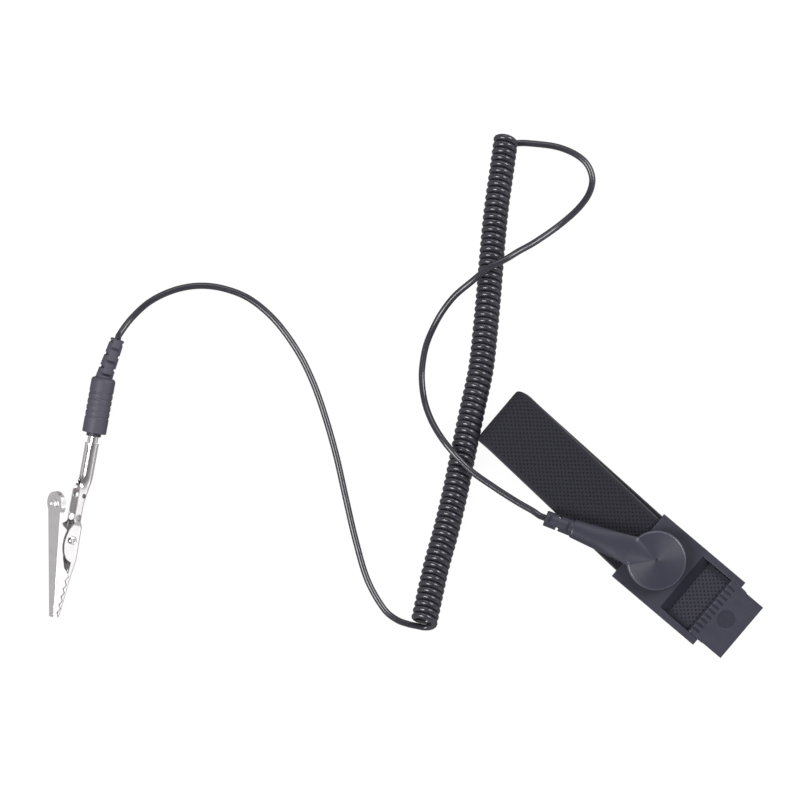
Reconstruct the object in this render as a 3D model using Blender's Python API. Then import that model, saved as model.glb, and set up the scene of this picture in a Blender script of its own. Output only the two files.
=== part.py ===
"""Earthing wrist strap: elastic band with a flip-lock buckle, a snap lead, a curly cord, a plug and a spring clip.

Metres, +Z up. The origin lies on the table under the axis of the snap stud,
and +X runs along the buckle towards the tip of its lever.
"""

import math

import bmesh
import bpy
import numpy as np
from mathutils import Matrix, Vector

MM = 0.001

# Clearances
SEAT_GAP = 0.0003  # between pieces that sit on each other
SIDE_GAP = 0.0006  # between the band's edge and a rail
LEVER_SIDE_GAP = 0.00075  # between the lever and a rail
TURN_GAP = 0.00025  # between a pin and what turns on it
CUT_PAST = 0.001  # how far a cutter runs past the wall it cuts

# Elastic band
BAND_WIDTH = 0.022
BAND_THICK = 0.0014
LOOP_REACH = 0.0714  # stud axis to the outside of the left fold
LOOP_HEIGHT = 0.00945  # top of the upper layer at the left fold
FOLD_NARROWING = 0.0016  # how much each edge draws in at the left fold
LOOP_SHIFT = 0.0043  # how far the left fold lies towards +Y
LOWER_SHIFT = 0.001  # how far the lower layer lies towards +Y at the right fold
RIGHT_FOLD_PAST_BODY = 0.0033  # right fold past the buckle's end
STRAP_PAST_BODY = 0.0019  # cut end of the strap past the buckle's end

# Buckle
DECK_LEFT = 0.0076  # stud axis to the left end of the deck
DECK_RIGHT = 0.0111  # stud axis to the right end of the deck
WINDOW_LENGTH = 0.0121
RAMP_LENGTH = 0.0026  # slope from the deck down into the window
RAMP_EDGE = 0.0003
RAIL_PAST_PIN = 0.0034
RAIL_WIDTH = 0.00165
FLOOR_THICK = 0.001
HUB_RADIUS = 0.001
HUB_WALL = 0.00035
LEVER_LENGTH = 0.0142
LEVER_THICK = 0.0013
TOOTH_REACH = 0.00275  # past the lever's pin
TOOTH_COUNT = 9
TOOTH_SHARE = 0.55  # of the tooth pitch
SLOT_WALL = 0.0003  # what the slots leave of the toothed block's right side

# Contact plate and its rivets
PLATE_THICK = 0.0005
PLATE_INSET = 0.0036  # from each end of the buckle
PLATE_WIDTH = 0.018
PLATE_CORNER = 0.002
RIVET_RADIUS = 0.0008
RIVET_HEAD_RADIUS = 0.001
RIVET_FLARE = 0.0003
RIVET_FROM_END = 0.006  # from each end of the plate

# Snap
STUD_FLANGE_RADIUS = 0.004
STUD_FLANGE_THICK = 0.0004
STUD_NECK_RADIUS = 0.0016
STUD_NECK_HEIGHT = 0.0014
STUD_HEAD_RADIUS = 0.002
STUD_HEAD_HEIGHT = 0.0013
POST_RADIUS = 0.0009
SOCKET_WALL = 0.0006
SOCKET_LIP = 0.0003
SOCKET_PLATE_THICK = 0.0004
SOCKET_FLANGE_RADIUS = 0.0058
SPRING_RING_THICK = 0.0007
SPRING_RING_HEIGHT = 0.0008

# Snap housing
CAP_RADIUS = 0.00993
CAP_WALL = 0.0013
CAP_CROWN = 0.0020
CAP_EDGE = 0.0006
ARM_ANGLE = math.radians(199.3)
ARM_REACH = 0.0298  # stud axis to the end of the arm
ARM_ROOT_WIDTH = 0.009
ARM_END_WIDTH = 0.0055
ARM_EDGE = 0.0009
ARM_RELIEF_LENGTH = 0.0095
ARM_RELIEF_SLOTS = 3
RELIEF_SLOT = 0.0009
RELIEF_WALL = 0.0004  # left between a slot and the cord's bore
RELIEF_SINK = 0.0005  # how far a strain relief starts inside its moulding
RELIEF_TAPER = 0.0001  # how much narrower the arm's relief gets on each side
CAP_SIDES = 32
RESISTOR_RADIUS = 0.00115
RESISTOR_LENGTH = 0.0063
RESISTOR_FROM_STUD = 0.014
LEAD_RADIUS = 0.0003

# Cord
CORD_RADIUS = 0.00085
COIL_RADIUS = 0.00415  # outside of the curls
CURLS = 75
POINTS_PER_CURL = 8
CORD_GRIP = 0.0033  # length of cord inside the arm's strain relief
TAIL_STEP = 0.0051

# Plug
PLUG_ANGLE = math.radians(-60.1)
PLUG_TILT = math.radians(2.4)
BARREL_MOUTH = (-0.168, -0.09148)
HANDLE_RADIUS = 0.00405
HANDLE_LENGTH = 0.0188
HANDLE_SHOULDER = 0.0016
HANDLE_FROM_BARREL = 0.0035
GRIP_GROOVES = 5
GRIP_PITCH = 0.002
GRIP_GROOVE_WIDTH = 0.0009
GRIP_GROOVE_DEPTH = 0.00035
GRIP_START = 0.0049  # from the rear of the handle
RECESS_DEPTH = 0.0008
RECESS_RADIUS = 0.0031
PLUG_RELIEF_LENGTH = 0.0135
PLUG_RELIEF_ROOT = 0.00285
PLUG_RELIEF_END = 0.00235
PLUG_RELIEF_TILT = math.radians(7)
PLUG_RELIEF_ROLL = math.radians(20)
PLUG_RELIEF_SLOTS = 6
COLLAR_WALL = 0.0004
COLLAR_LENGTH = 0.0016
PIN_RADIUS = 0.00175
PIN_SHANK_RADIUS = 0.0013
PIN_SHANK_LENGTH = 0.0082
PIN_CORE_RADIUS = 0.0011
PIN_TIP_RADIUS = 0.0015
PIN_TIP_LENGTH = 0.001
CAGE_START = 0.001  # from the barrel's mouth
CAGE_LENGTH = 0.0075
CAGE_THICK = 0.00035
CAGE_SLOT = 0.0007

# Clip: s runs along the barrel's axis from its mouth, h from the axis towards the thumb half, w across
CLIP_ROLL = math.radians(42)
BARREL_RADIUS = 0.00225
BARREL_LENGTH = 0.0112
BARREL_WALL = 0.0003
NECK_END = 0.0150
NECK_RADIUS = 0.0017
CLIP_SHEET = 0.0005
CHANNEL_WIDTH = 0.004
CHANNEL_START = 0.0138
CHANNEL_END = 0.0276
CHANNEL_TOP = 0.0031
CHANNEL_FLOOR = 0.0001
CHANNEL_SLOPE = 0.006  # length in which the floor rises from the neck
CHANNEL_LEAD = 0.003  # length in which the walls rise from the neck
SMALL_HOLE_RADIUS = 0.0008
SMALL_HOLE_H = 0.001
SMALL_HOLE_FROM_START = 0.0039
LARGE_HOLE_RADIUS = 0.00125
LARGE_HOLE_H = 0.0017
LARGE_HOLE_FROM_END = 0.0024
EAR_WIDTH = 0.0062  # outside, where the ears start
NOSE_WIDTH = 0.0022
PIVOT_S = 0.0327
PIVOT_H = 0.00315
EAR_CENTRE_S = 0.0334
EAR_REACH = 0.0066
EAR_RISE = 0.0044
JAW_TEETH = 5
TOOTH_HEIGHT = 0.0007
BITE_GAP = 0.0004
BITE_START = (0.0452, 0.0019)
BITE_END = (0.0588, 0.00245)
JAW_FLOOR = ((0.0265, 0.00015), (0.0392, -0.0007), (0.0462, 0.0003), (0.059, 0.0014))
PIVOT_RADIUS = 0.0009
PIVOT_HEAD_RADIUS = 0.00145
PIVOT_HEAD_THICK = 0.0005
THUMB_SLOPE = math.radians(10.8)  # the thumb half's back against the barrel's axis
THUMB_BACK = 0.00588  # from the pivot to the thumb half's back
THUMB_WIDTH = 0.0066  # outside, at the pad
THUMB_START = 0.010  # behind the pivot
PAD_CENTRE = 0.0125  # behind the pivot
PAD_RADIUS = 0.0034
PAD_LIP = 0.0022
THUMB_LIP = 0.0013
THUMB_JAW_SLOPE = 0.0025  # length in which the lip grows into the toothed jaw
EYELET_RADIUS = 0.0016
EYELET_BORE = 0.00045
EYELET_WALL = 0.0003
EYELET_FLANGE = 0.0004
SPRING_WIRE_RADIUS = 0.00025
SPRING_RADIUS = 0.00155
SPRING_TURNS = 1
SPRING_PITCH = 0.00095
SPRING_LEG = 0.006

ROUND = 20  # sides of a large turned piece
SMALL_ROUND = 16  # sides of a small turned piece or hole

# Heights of the layers under and in the buckle
LOWER_MID = BAND_THICK / 2
PLATE_BOTTOM = BAND_THICK + SEAT_GAP
PLATE_TOP = PLATE_BOTTOM + PLATE_THICK
FIXED_MID = PLATE_TOP + SEAT_GAP + BAND_THICK / 2
FLOOR_BOTTOM = FIXED_MID + BAND_THICK / 2 + SEAT_GAP
FLOOR_TOP = FLOOR_BOTTOM + FLOOR_THICK
STRAP_MID = FLOOR_TOP + SEAT_GAP + BAND_THICK / 2
STRAP_TOP = STRAP_MID + BAND_THICK / 2
DECK_BOTTOM = STRAP_TOP + SEAT_GAP
PIN_HEIGHT = DECK_BOTTOM + HUB_RADIUS
DECK_TOP = PIN_HEIGHT + HUB_RADIUS

# Plan of the buckle
INNER_WIDTH = BAND_WIDTH + 2 * SIDE_GAP
BODY_WIDTH = INNER_WIDTH + 2 * RAIL_WIDTH
LEVER_LEFT = DECK_RIGHT + WINDOW_LENGTH
PIN_X = LEVER_LEFT + HUB_RADIUS
BODY_RIGHT = PIN_X + RAIL_PAST_PIN
LEVER_WIDTH = INNER_WIDTH - 2 * LEVER_SIDE_GAP
HUB_BORE = HUB_RADIUS - HUB_WALL
PLATE_LEFT = PLATE_INSET - DECK_LEFT
PLATE_RIGHT = BODY_RIGHT - PLATE_INSET
RIVET_PLACES = (PLATE_LEFT + RIVET_FROM_END, PLATE_RIGHT - RIVET_FROM_END)
RIVET_HOLE = RIVET_HEAD_RADIUS + SEAT_GAP

# Heights of the snap
STUD_BASE = DECK_TOP + SEAT_GAP
NECK_BASE = STUD_BASE + STUD_FLANGE_THICK
HEAD_BASE = NECK_BASE + STUD_NECK_HEIGHT
HEAD_TOP = HEAD_BASE + STUD_HEAD_HEIGHT
POST_HOLE = POST_RADIUS + SEAT_GAP
SOCKET_BASE = NECK_BASE + SEAT_GAP
RING_BASE = SOCKET_BASE + SOCKET_LIP + SEAT_GAP
RING_INNER = STUD_HEAD_RADIUS + SEAT_GAP
RING_OUTER = RING_INNER + SPRING_RING_THICK
SOCKET_INNER = RING_OUTER + SEAT_GAP
SOCKET_PLATE_BOTTOM = HEAD_TOP + SEAT_GAP
SOCKET_TOP = SOCKET_PLATE_BOTTOM + SOCKET_PLATE_THICK
CAP_BASE = DECK_TOP + SEAT_GAP
CAVITY_RADIUS = SOCKET_FLANGE_RADIUS + SEAT_GAP
CAVITY_TOP = SOCKET_TOP + SEAT_GAP
CAP_RIM = CAVITY_TOP + CAP_WALL - CAP_CROWN * (1 - CAVITY_RADIUS / CAP_RADIUS)
CAP_APEX = CAP_RIM + CAP_CROWN
CORD_HEIGHT = (CAP_BASE + CAP_RIM) / 2
ARM_BORE = RESISTOR_RADIUS + SEAT_GAP
CORD_BORE = CORD_RADIUS + SEAT_GAP
RELIEF_END = ARM_REACH + ARM_RELIEF_LENGTH
CORD_START = RELIEF_END - CORD_GRIP

# Plug and clip
HANDLE_FRONT = -HANDLE_FROM_BARREL
HANDLE_REAR = HANDLE_FRONT - HANDLE_LENGTH
RECESS_FLOOR = HANDLE_FRONT - RECESS_DEPTH
PIN_REAR = RECESS_FLOOR - PIN_SHANK_LENGTH
SHANK_BORE = PIN_SHANK_RADIUS + SEAT_GAP
BARREL_BORE = BARREL_RADIUS - BARREL_WALL
CAGE_INNER = PIN_CORE_RADIUS + TURN_GAP
CAGE_END = CAGE_START + CAGE_LENGTH
PLUG_HEIGHT = HANDLE_RADIUS * math.cos(PLUG_TILT) - HANDLE_FROM_BARREL * math.sin(PLUG_TILT)
JAW_START = JAW_FLOOR[0][0]
NOSE = JAW_FLOOR[-1][0]
PIVOT_HOLE = PIVOT_RADIUS + SEAT_GAP
EYELET_HOLE = EYELET_BORE + EYELET_WALL + SEAT_GAP

# The cord's route, chosen by hand along its centre, in millimetres
BAND_TAIL_ROUTE = (
    (-41.5, -14.4, 11.8), (-48.1, -15.6, 11.2), (-57.2, -16.7, 10.3), (-66.2, -17.0, 9.7),
    (-75.0, -16.1, 9.5), (-81.4, -14.6, 7.9), (-87.4, -12.2, 5.2), (-92.8, -8.9, 2.8),
    (-98.0, -4.6, 1.3), (-101.6, 0.0, 0.9), (-104.6, 5.5, 0.9), (-106.6, 11.5, 1.2),
    (-107.5, 17.5, 2.6), (-107.3, 24.0, 5.6), (-106.5, 30.5, 8.6), (-105.0, 38.0, 9.7),
    (-102.6, 43.9, 9.5), (-100.9, 49.0, 7.9), (-99.3, 54.5, 5.2), (-96.9, 62.5, 2.0),
    (-95.5, 69.1, 1.0), (-95.3, 74.1, 0.9), (-95.9, 78.8, 0.9), (-97.7, 83.0, 0.9),
    (-101.0, 86.2, 0.9), (-105.3, 86.9, 0.9), (-110.2, 85.6, 0.9), (-115.0, 82.6, 0.9),
)
COIL_AXIS = (
    (-128.0, 74.2), (-122.8, 66.1), (-115.6, 54.7), (-108.0, 43.7), (-100.2, 32.8), (-92.7, 21.7),
    (-85.5, 10.4), (-78.8, -1.5), (-72.3, -13.5), (-65.8, -25.4), (-59.5, -37.5), (-53.4, -49.8),
    (-44.6, -65.6),
)
CLIP_TAIL_ROUTE = (
    (-53.0, -69.7, 0.9), (-58.6, -70.5, 0.9), (-69.0, -66.9, 0.9), (-80.7, -59.8, 0.9),
    (-91.3, -51.4, 0.9), (-103.1, -41.6, 0.9), (-114.2, -33.6, 0.9), (-124.8, -27.8, 0.9),
    (-135.5, -24.0, 0.9), (-147.7, -21.4, 0.9), (-158.6, -21.4, 0.9), (-167.3, -24.0, 0.9),
    (-174.6, -28.3, 0.9), (-180.2, -34.7, 1.2), (-183.6, -43.0, 2.0), (-185.3, -51.0, 3.2),
)


def clear_scene():
    for obj in list(bpy.data.objects):
        bpy.data.objects.remove(obj, do_unlink=True)


def finish(name, colour, roughness, metallic=0.0):
    """A plain material of one colour."""
    material = bpy.data.materials.new(name)
    material.use_nodes = True
    shader = material.node_tree.nodes["Principled BSDF"]
    shader.inputs["Base Color"].default_value = (*colour, 1.0)
    shader.inputs["Roughness"].default_value = roughness
    shader.inputs["Metallic"].default_value = metallic
    return material


def place(obj, material, parent=None, at=(0, 0, 0), turn=(0, 0, 0)):
    """Gives a piece its material, its parent and its place, and shades its round faces smooth."""
    obj.location = at
    obj.rotation_euler = turn
    obj.parent = parent
    obj.data.materials.clear()
    obj.data.materials.append(material)
    if obj.type == "MESH":
        obj.data.shade_smooth()
        obj.data.set_sharp_from_angle(angle=math.radians(35))
    return obj


def empty(name, at=(0, 0, 0), turn=(0, 0, 0), parent=None):
    obj = bpy.data.objects.new(name, None)
    bpy.context.collection.objects.link(obj)
    obj.location = at
    obj.rotation_euler = turn
    obj.parent = parent
    return obj


def mesh_object(name, points, faces):
    mesh = bpy.data.meshes.new(name)
    bm = bmesh.new()
    verts = [bm.verts.new(point) for point in points]
    for face in faces:
        bm.faces.new([verts[i] for i in face])
    bmesh.ops.recalc_face_normals(bm, faces=bm.faces)
    bm.to_mesh(mesh)
    bm.free()
    obj = bpy.data.objects.new(name, mesh)
    bpy.context.collection.objects.link(obj)
    return obj


def box(name, low, high):
    xs, ys, zs = zip(low, high)
    points = [(x, y, z) for z in zs for y in ys for x in xs]
    faces = [(0, 1, 3, 2), (4, 5, 7, 6), (0, 1, 5, 4), (2, 3, 7, 6), (0, 2, 6, 4), (1, 3, 7, 5)]
    return mesh_object(name, points, faces)


def prism(name, outline, half_width, place_point):
    """An outline of (a, b) points, made solid from -half_width(a) to half_width(a) across."""
    count = len(outline)
    points = [place_point(a, b, side * half_width(a)) for side in (-1, 1) for a, b in outline]
    around = [(i, (i + 1) % count, count + (i + 1) % count, count + i) for i in range(count)]
    return mesh_object(name, points, [tuple(range(count)), tuple(range(count, 2 * count)), *around])


def turned(name, profile, sides, place_point):
    """A closed profile of (radius, along) points, turned round the axis. A radius of 0 is a point on the axis."""
    points = []
    rows = []
    for radius, along in profile:
        if radius == 0:
            rows.append([len(points)] * sides)
            points.append(place_point(0, 0, along))
            continue
        rows.append(list(range(len(points), len(points) + sides)))
        for i in range(sides):
            angle = 2 * math.pi * i / sides
            points.append(place_point(radius * math.cos(angle), radius * math.sin(angle), along))
    faces = []
    for row, after in zip(rows, rows[1:] + rows[:1]):
        for i in range(sides):
            j = (i + 1) % sides
            corners = list(dict.fromkeys((row[i], row[j], after[j], after[i])))
            if len(corners) > 2:
                faces.append(corners)
    return mesh_object(name, points, faces)


def upright(across, side, along):
    """Turned round Z."""
    return (across, side, along)


def lengthwise(across, side, along):
    """Turned round X."""
    return (along, across, side)


def crosswise(across, side, along):
    """Turned round Y."""
    return (side, along, across)


def rod(name, radius, start, end, sides, place_point):
    return turned(name, ((0, start), (radius, start), (radius, end), (0, end)), sides, place_point)


def moved(obj, offset=(0, 0, 0), turn=Matrix.Identity(3)):
    """Turns and then shifts a piece's mesh, before it is joined to another."""
    obj.data.transform(Matrix.Translation(offset) @ turn.to_4x4())
    return obj


def combine(obj, tools, operation):
    """Joins tools to a piece, or cuts them from it."""
    for tool in tools:
        modifier = obj.modifiers.new("join", "BOOLEAN")
        modifier.operation = operation
        modifier.object = tool
        graph = bpy.context.evaluated_depsgraph_get()
        result = bpy.data.meshes.new_from_object(obj.evaluated_get(graph))
        obj.modifiers.remove(modifier)
        obj.data = result
        bpy.data.objects.remove(tool, do_unlink=True)
    return obj


def cut(obj, *tools):
    return combine(obj, tools, "DIFFERENCE")


def join(obj, *tools):
    return combine(obj, tools, "UNION")


def rounded(obj, width, segments, pick):
    """Rounds the edges that pick chooses."""
    bm = bmesh.new()
    bm.from_mesh(obj.data)
    edges = [edge for edge in bm.edges if pick(edge)]
    bmesh.ops.bevel(bm, geom=edges, offset=width, segments=segments, profile=0.5, affect="EDGES")
    bm.to_mesh(obj.data)
    bm.free()
    return obj


def tube(name, points, radius, resolution):
    """A round tube along points."""
    curve = bpy.data.curves.new(name, "CURVE")
    curve.dimensions = "3D"
    curve.bevel_depth = radius
    curve.bevel_resolution = resolution
    curve.use_fill_caps = True
    spline = curve.splines.new("POLY")
    spline.points.add(len(points) - 1)
    for target, point in zip(spline.points, points):
        target.co = (*point, 1.0)
    obj = bpy.data.objects.new(name, curve)
    bpy.context.collection.objects.link(obj)
    return obj


def smooth_curve(points, steps=24):
    """A dense curve through the points, with the tangent at each point along its neighbours."""
    points = np.array(points, float)
    ends = np.vstack([2 * points[0] - points[1], points, 2 * points[-1] - points[-2]])
    dense = []
    for before, start, end, after in zip(ends, ends[1:], ends[2:], ends[3:]):
        for t in np.arange(steps) / steps:
            dense.append(
                0.5 * (2 * start + (end - before) * t + (2 * before - 5 * start + 4 * end - after) * t**2
                       + (3 * start - before - 3 * end + after) * t**3)
            )
    return np.vstack([dense, points[-1]])


def lengths_along(points):
    return np.concatenate([[0], np.cumsum(np.linalg.norm(np.diff(points, axis=0), axis=1))])


def resampled(points, step):
    """Points about step apart along a dense curve, with both of its ends."""
    along = lengths_along(points)
    count = max(2, round(along[-1] / step) + 1)
    wanted = np.linspace(0, along[-1], count)
    return np.stack([np.interp(wanted, along, column) for column in points.T], axis=1)


def make_band(material):
    """One strip of elastic: strap end, upper layer, left fold, lower layer, right fold and fixed end."""
    half = BAND_WIDTH / 2
    upper_mid = LOOP_HEIGHT - BAND_THICK / 2
    left_radius = (upper_mid - LOWER_MID) / 2
    left_x = -LOOP_REACH + left_radius + BAND_THICK / 2
    right_radius = (FIXED_MID - LOWER_MID) / 2
    right_x = BODY_RIGHT + RIGHT_FOLD_PAST_BODY - right_radius - BAND_THICK / 2
    stations = [(BODY_RIGHT + STRAP_PAST_BODY, STRAP_MID, 0, half)]
    for t in np.linspace(0, 1, 14):
        x = -DECK_LEFT + (left_x + DECK_LEFT) * t
        rise = (upper_mid - STRAP_MID) * math.sin(t * math.pi / 2)
        stations.append((x, STRAP_MID + rise, LOOP_SHIFT * t, half))
    for turn in np.linspace(0, math.pi, 11)[1:]:
        x = left_x - left_radius * math.sin(turn)
        z = LOWER_MID + left_radius * (1 + math.cos(turn))
        stations.append((x, z, LOOP_SHIFT, half - FOLD_NARROWING * math.sin(turn)))
    for turn in np.linspace(0, math.pi, 9):
        x = right_x + right_radius * math.sin(turn)
        z = LOWER_MID + right_radius * (1 - math.cos(turn))
        stations.append((x, z, LOWER_SHIFT * (1 - turn / math.pi), half))
    stations.append((PLATE_LEFT, FIXED_MID, 0, half))
    path = np.array([(x, z) for x, z, _, _ in stations])
    tangents = np.gradient(path, axis=0)
    points = []
    for (x, z, middle, half_width), (run, rise) in zip(stations, tangents):
        normal = np.array([-rise, run]) / math.hypot(run, rise) * BAND_THICK / 2
        for face in (-1, 1):
            for edge in (-1, 1):
                points.append((x + face * normal[0], middle + edge * half_width, z + face * normal[1]))
    faces = [(0, 1, 3, 2)]
    for i in range(0, len(points) - 4, 4):
        faces += [(i + a, i + b, i + b + 4, i + a + 4) for a, b in ((0, 1), (1, 3), (3, 2), (2, 0))]
    last = len(points) - 4
    faces.append((last, last + 1, last + 3, last + 2))
    band = mesh_object("band", points, faces)
    low, high = PLATE_TOP, FLOOR_BOTTOM
    holes = [moved(rod("hole", RIVET_HOLE, low, high, SMALL_ROUND, upright), (x, 0, 0)) for x in RIVET_PLACES]
    return place(cut(band, *holes), material)


def make_buckle_body(material):
    """Floor, deck and two rails, open for the strap from end to end and open above the window and the lever."""
    body = box("buckle_body", (-DECK_LEFT, -BODY_WIDTH / 2, FLOOR_BOTTOM), (BODY_RIGHT, BODY_WIDTH / 2, DECK_TOP))
    half = INNER_WIDTH / 2
    end = BODY_RIGHT + CUT_PAST
    channel = box("channel", (-DECK_LEFT - CUT_PAST, -half, FLOOR_TOP), (end, half, DECK_BOTTOM))
    ramp_end = DECK_RIGHT + RAMP_LENGTH
    above = DECK_TOP + CUT_PAST
    outline = (
        (DECK_RIGHT, above), (DECK_RIGHT, DECK_TOP), (ramp_end, DECK_BOTTOM + RAMP_EDGE),
        (ramp_end, FLOOR_TOP), (end, FLOOR_TOP), (end, above),
    )
    window = prism("window", outline, lambda _: half, lambda a, b, across: (a, across, b))
    across = BODY_WIDTH / 2 + CUT_PAST
    pin_hole = moved(rod("hole", HUB_BORE, -across, across, SMALL_ROUND, crosswise), (PIN_X, 0, PIN_HEIGHT))
    post_hole = rod("hole", POST_HOLE, STRAP_MID, DECK_TOP + CUT_PAST, SMALL_ROUND, upright)
    low, high = FLOOR_BOTTOM - CUT_PAST, FLOOR_TOP + CUT_PAST
    holes = [moved(rod("hole", RIVET_HOLE, low, high, SMALL_ROUND, upright), (x, 0, 0)) for x in RIVET_PLACES]
    return place(cut(body, channel, window, pin_hole, post_hole, *holes), material)


def make_lever(material):
    """Flip-up lever: a row of toothed fingers round the pin, and a flat tongue. Its origin is on the pin."""
    half = LEVER_WIDTH / 2
    under = HUB_RADIUS - LEVER_THICK
    end = LEVER_LENGTH - HUB_RADIUS
    hub = np.linspace(math.pi / 2, 3 * math.pi / 2, 9)
    outline = [(HUB_RADIUS * math.cos(turn), HUB_RADIUS * math.sin(turn)) for turn in hub]
    outline += [(TOOTH_REACH, -HUB_RADIUS), (TOOTH_REACH, under), (end, under), (end, HUB_RADIUS)]
    lever = prism("clamp_lever", outline, lambda _: half, lambda a, b, across: (a, across, b))
    pitch = LEVER_WIDTH / TOOTH_COUNT
    slot = pitch * (1 - TOOTH_SHARE) / 2
    slots = []
    for i in range(1, TOOTH_COUNT):
        y = i * pitch - half
        low = (-HUB_RADIUS - CUT_PAST, y - slot, -HUB_RADIUS - CUT_PAST)
        high = (TOOTH_REACH - SLOT_WALL, y + slot, HUB_RADIUS + CUT_PAST)
        slots.append(box("slot", low, high))
    bore = rod("bore", HUB_BORE, -half - CUT_PAST, half + CUT_PAST, SMALL_ROUND, crosswise)
    return place(cut(lever, bore, *slots), material, at=(PIN_X, 0, PIN_HEIGHT))


def make_contact_plate(material):
    half = PLATE_WIDTH / 2
    plate = box("contact_plate", (PLATE_LEFT, -half, PLATE_BOTTOM), (PLATE_RIGHT, half, PLATE_TOP))

    def is_corner(edge):
        return abs(edge.verts[0].co.z - edge.verts[1].co.z) > PLATE_THICK / 2

    rounded(plate, PLATE_CORNER, 4, is_corner)
    low, high = PLATE_BOTTOM - CUT_PAST, PLATE_TOP + CUT_PAST
    holes = [moved(rod("hole", RIVET_HOLE, low, high, SMALL_ROUND, upright), (x, 0, 0)) for x in RIVET_PLACES]
    return place(cut(plate, *holes), material)


def make_rivets(material):
    """The two rivets through plate, band and floor, flared at both ends."""
    low, high = PLATE_BOTTOM, FLOOR_TOP
    profile = (
        (0, low), (RIVET_HEAD_RADIUS, low), (RIVET_RADIUS, low + RIVET_FLARE),
        (RIVET_RADIUS, high - RIVET_FLARE), (RIVET_HEAD_RADIUS, high), (0, high),
    )
    for number, x in enumerate(RIVET_PLACES, 1):
        place(turned(f"plate_rivet_{number}", profile, SMALL_ROUND, upright), material, at=(x, 0, 0))


def make_stud(material):
    """Hollow stud on the deck, and the post that holds it there and reaches the strap."""
    crown = STUD_HEAD_HEIGHT / 4
    profile = (
        (POST_HOLE, STUD_BASE), (STUD_FLANGE_RADIUS, STUD_BASE), (STUD_FLANGE_RADIUS, NECK_BASE),
        (STUD_NECK_RADIUS, NECK_BASE), (STUD_NECK_RADIUS, HEAD_BASE), (STUD_HEAD_RADIUS, HEAD_BASE + crown),
        (STUD_HEAD_RADIUS, HEAD_TOP - 2 * crown), (STUD_HEAD_RADIUS - crown, HEAD_TOP), (0, HEAD_TOP),
        (0, HEAD_BASE + SEAT_GAP), (POST_HOLE, HEAD_BASE + SEAT_GAP),
    )
    place(turned("snap_stud", profile, ROUND, upright), material)
    place(rod("stud_post", POST_RADIUS, DECK_BOTTOM, HEAD_BASE, SMALL_ROUND, upright), material)


def make_snap_inside(axis, steel, resistor_finish, copper):
    """Socket, spring ring, resistor and its leads, along the arm from the snap's axis."""
    outer = SOCKET_INNER + SOCKET_WALL
    lip = (RING_INNER + RING_OUTER) / 2
    socket = (
        (lip, SOCKET_BASE), (outer, SOCKET_BASE), (outer, SOCKET_PLATE_BOTTOM),
        (SOCKET_FLANGE_RADIUS, SOCKET_PLATE_BOTTOM), (SOCKET_FLANGE_RADIUS, SOCKET_TOP), (0, SOCKET_TOP),
        (0, SOCKET_PLATE_BOTTOM), (SOCKET_INNER, SOCKET_PLATE_BOTTOM), (SOCKET_INNER, SOCKET_BASE + SOCKET_LIP),
        (lip, SOCKET_BASE + SOCKET_LIP),
    )
    place(turned("snap_socket", socket, ROUND, upright), steel, axis)
    top = RING_BASE + SPRING_RING_HEIGHT
    ring = ((RING_INNER, RING_BASE), (RING_OUTER, RING_BASE), (RING_OUTER, top), (RING_INNER, top))
    place(turned("socket_spring", ring, ROUND, upright), steel, axis)
    start, end = RESISTOR_FROM_STUD, RESISTOR_FROM_STUD + RESISTOR_LENGTH
    cap = RESISTOR_LENGTH / 5
    waist = RESISTOR_RADIUS * 0.85
    body = (
        (0, start), (RESISTOR_RADIUS, start), (RESISTOR_RADIUS, start + cap), (waist, start + 1.3 * cap),
        (waist, end - 1.3 * cap), (RESISTOR_RADIUS, end - cap), (RESISTOR_RADIUS, end), (0, end),
    )
    at = (0, 0, CORD_HEIGHT)
    place(turned("resistor", body, SMALL_ROUND, lengthwise), resistor_finish, axis, at)
    first = rod("resistor_lead_1", LEAD_RADIUS, outer + SEAT_GAP, start - SEAT_GAP, 8, lengthwise)
    second = rod("resistor_lead_2", LEAD_RADIUS, end + SEAT_GAP, CORD_START - SEAT_GAP, 8, lengthwise)
    for lead in (first, second):
        place(lead, copper, axis, at)


def slotted_relief(start, end, root, tip, slots, height_share=1.0):
    """Strain relief along X: a tapered stub, slotted by turns from above and below and from both sides."""
    profile = ((0, start - RELIEF_SINK), (root, start - RELIEF_SINK), (tip, end), (0, end))
    relief = turned("relief", profile, ROUND, lengthwise)
    moved(relief, turn=Matrix.Diagonal((1, 1, height_share)))
    core = CORD_BORE + RELIEF_WALL
    reach = root + CUT_PAST
    pitch = (end - start) / slots
    for i in range(slots):
        low = start + (i + 0.5) * pitch - RELIEF_SLOT / 2
        high = low + RELIEF_SLOT
        for near, far in ((core, reach), (-reach, -core)):
            if i % 2 == 0:
                slot = box("slot", (low, -reach, near), (high, reach, far))
            else:
                slot = box("slot", (low, near, -reach), (high, far, reach))
            cut(relief, slot)
    return relief


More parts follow.
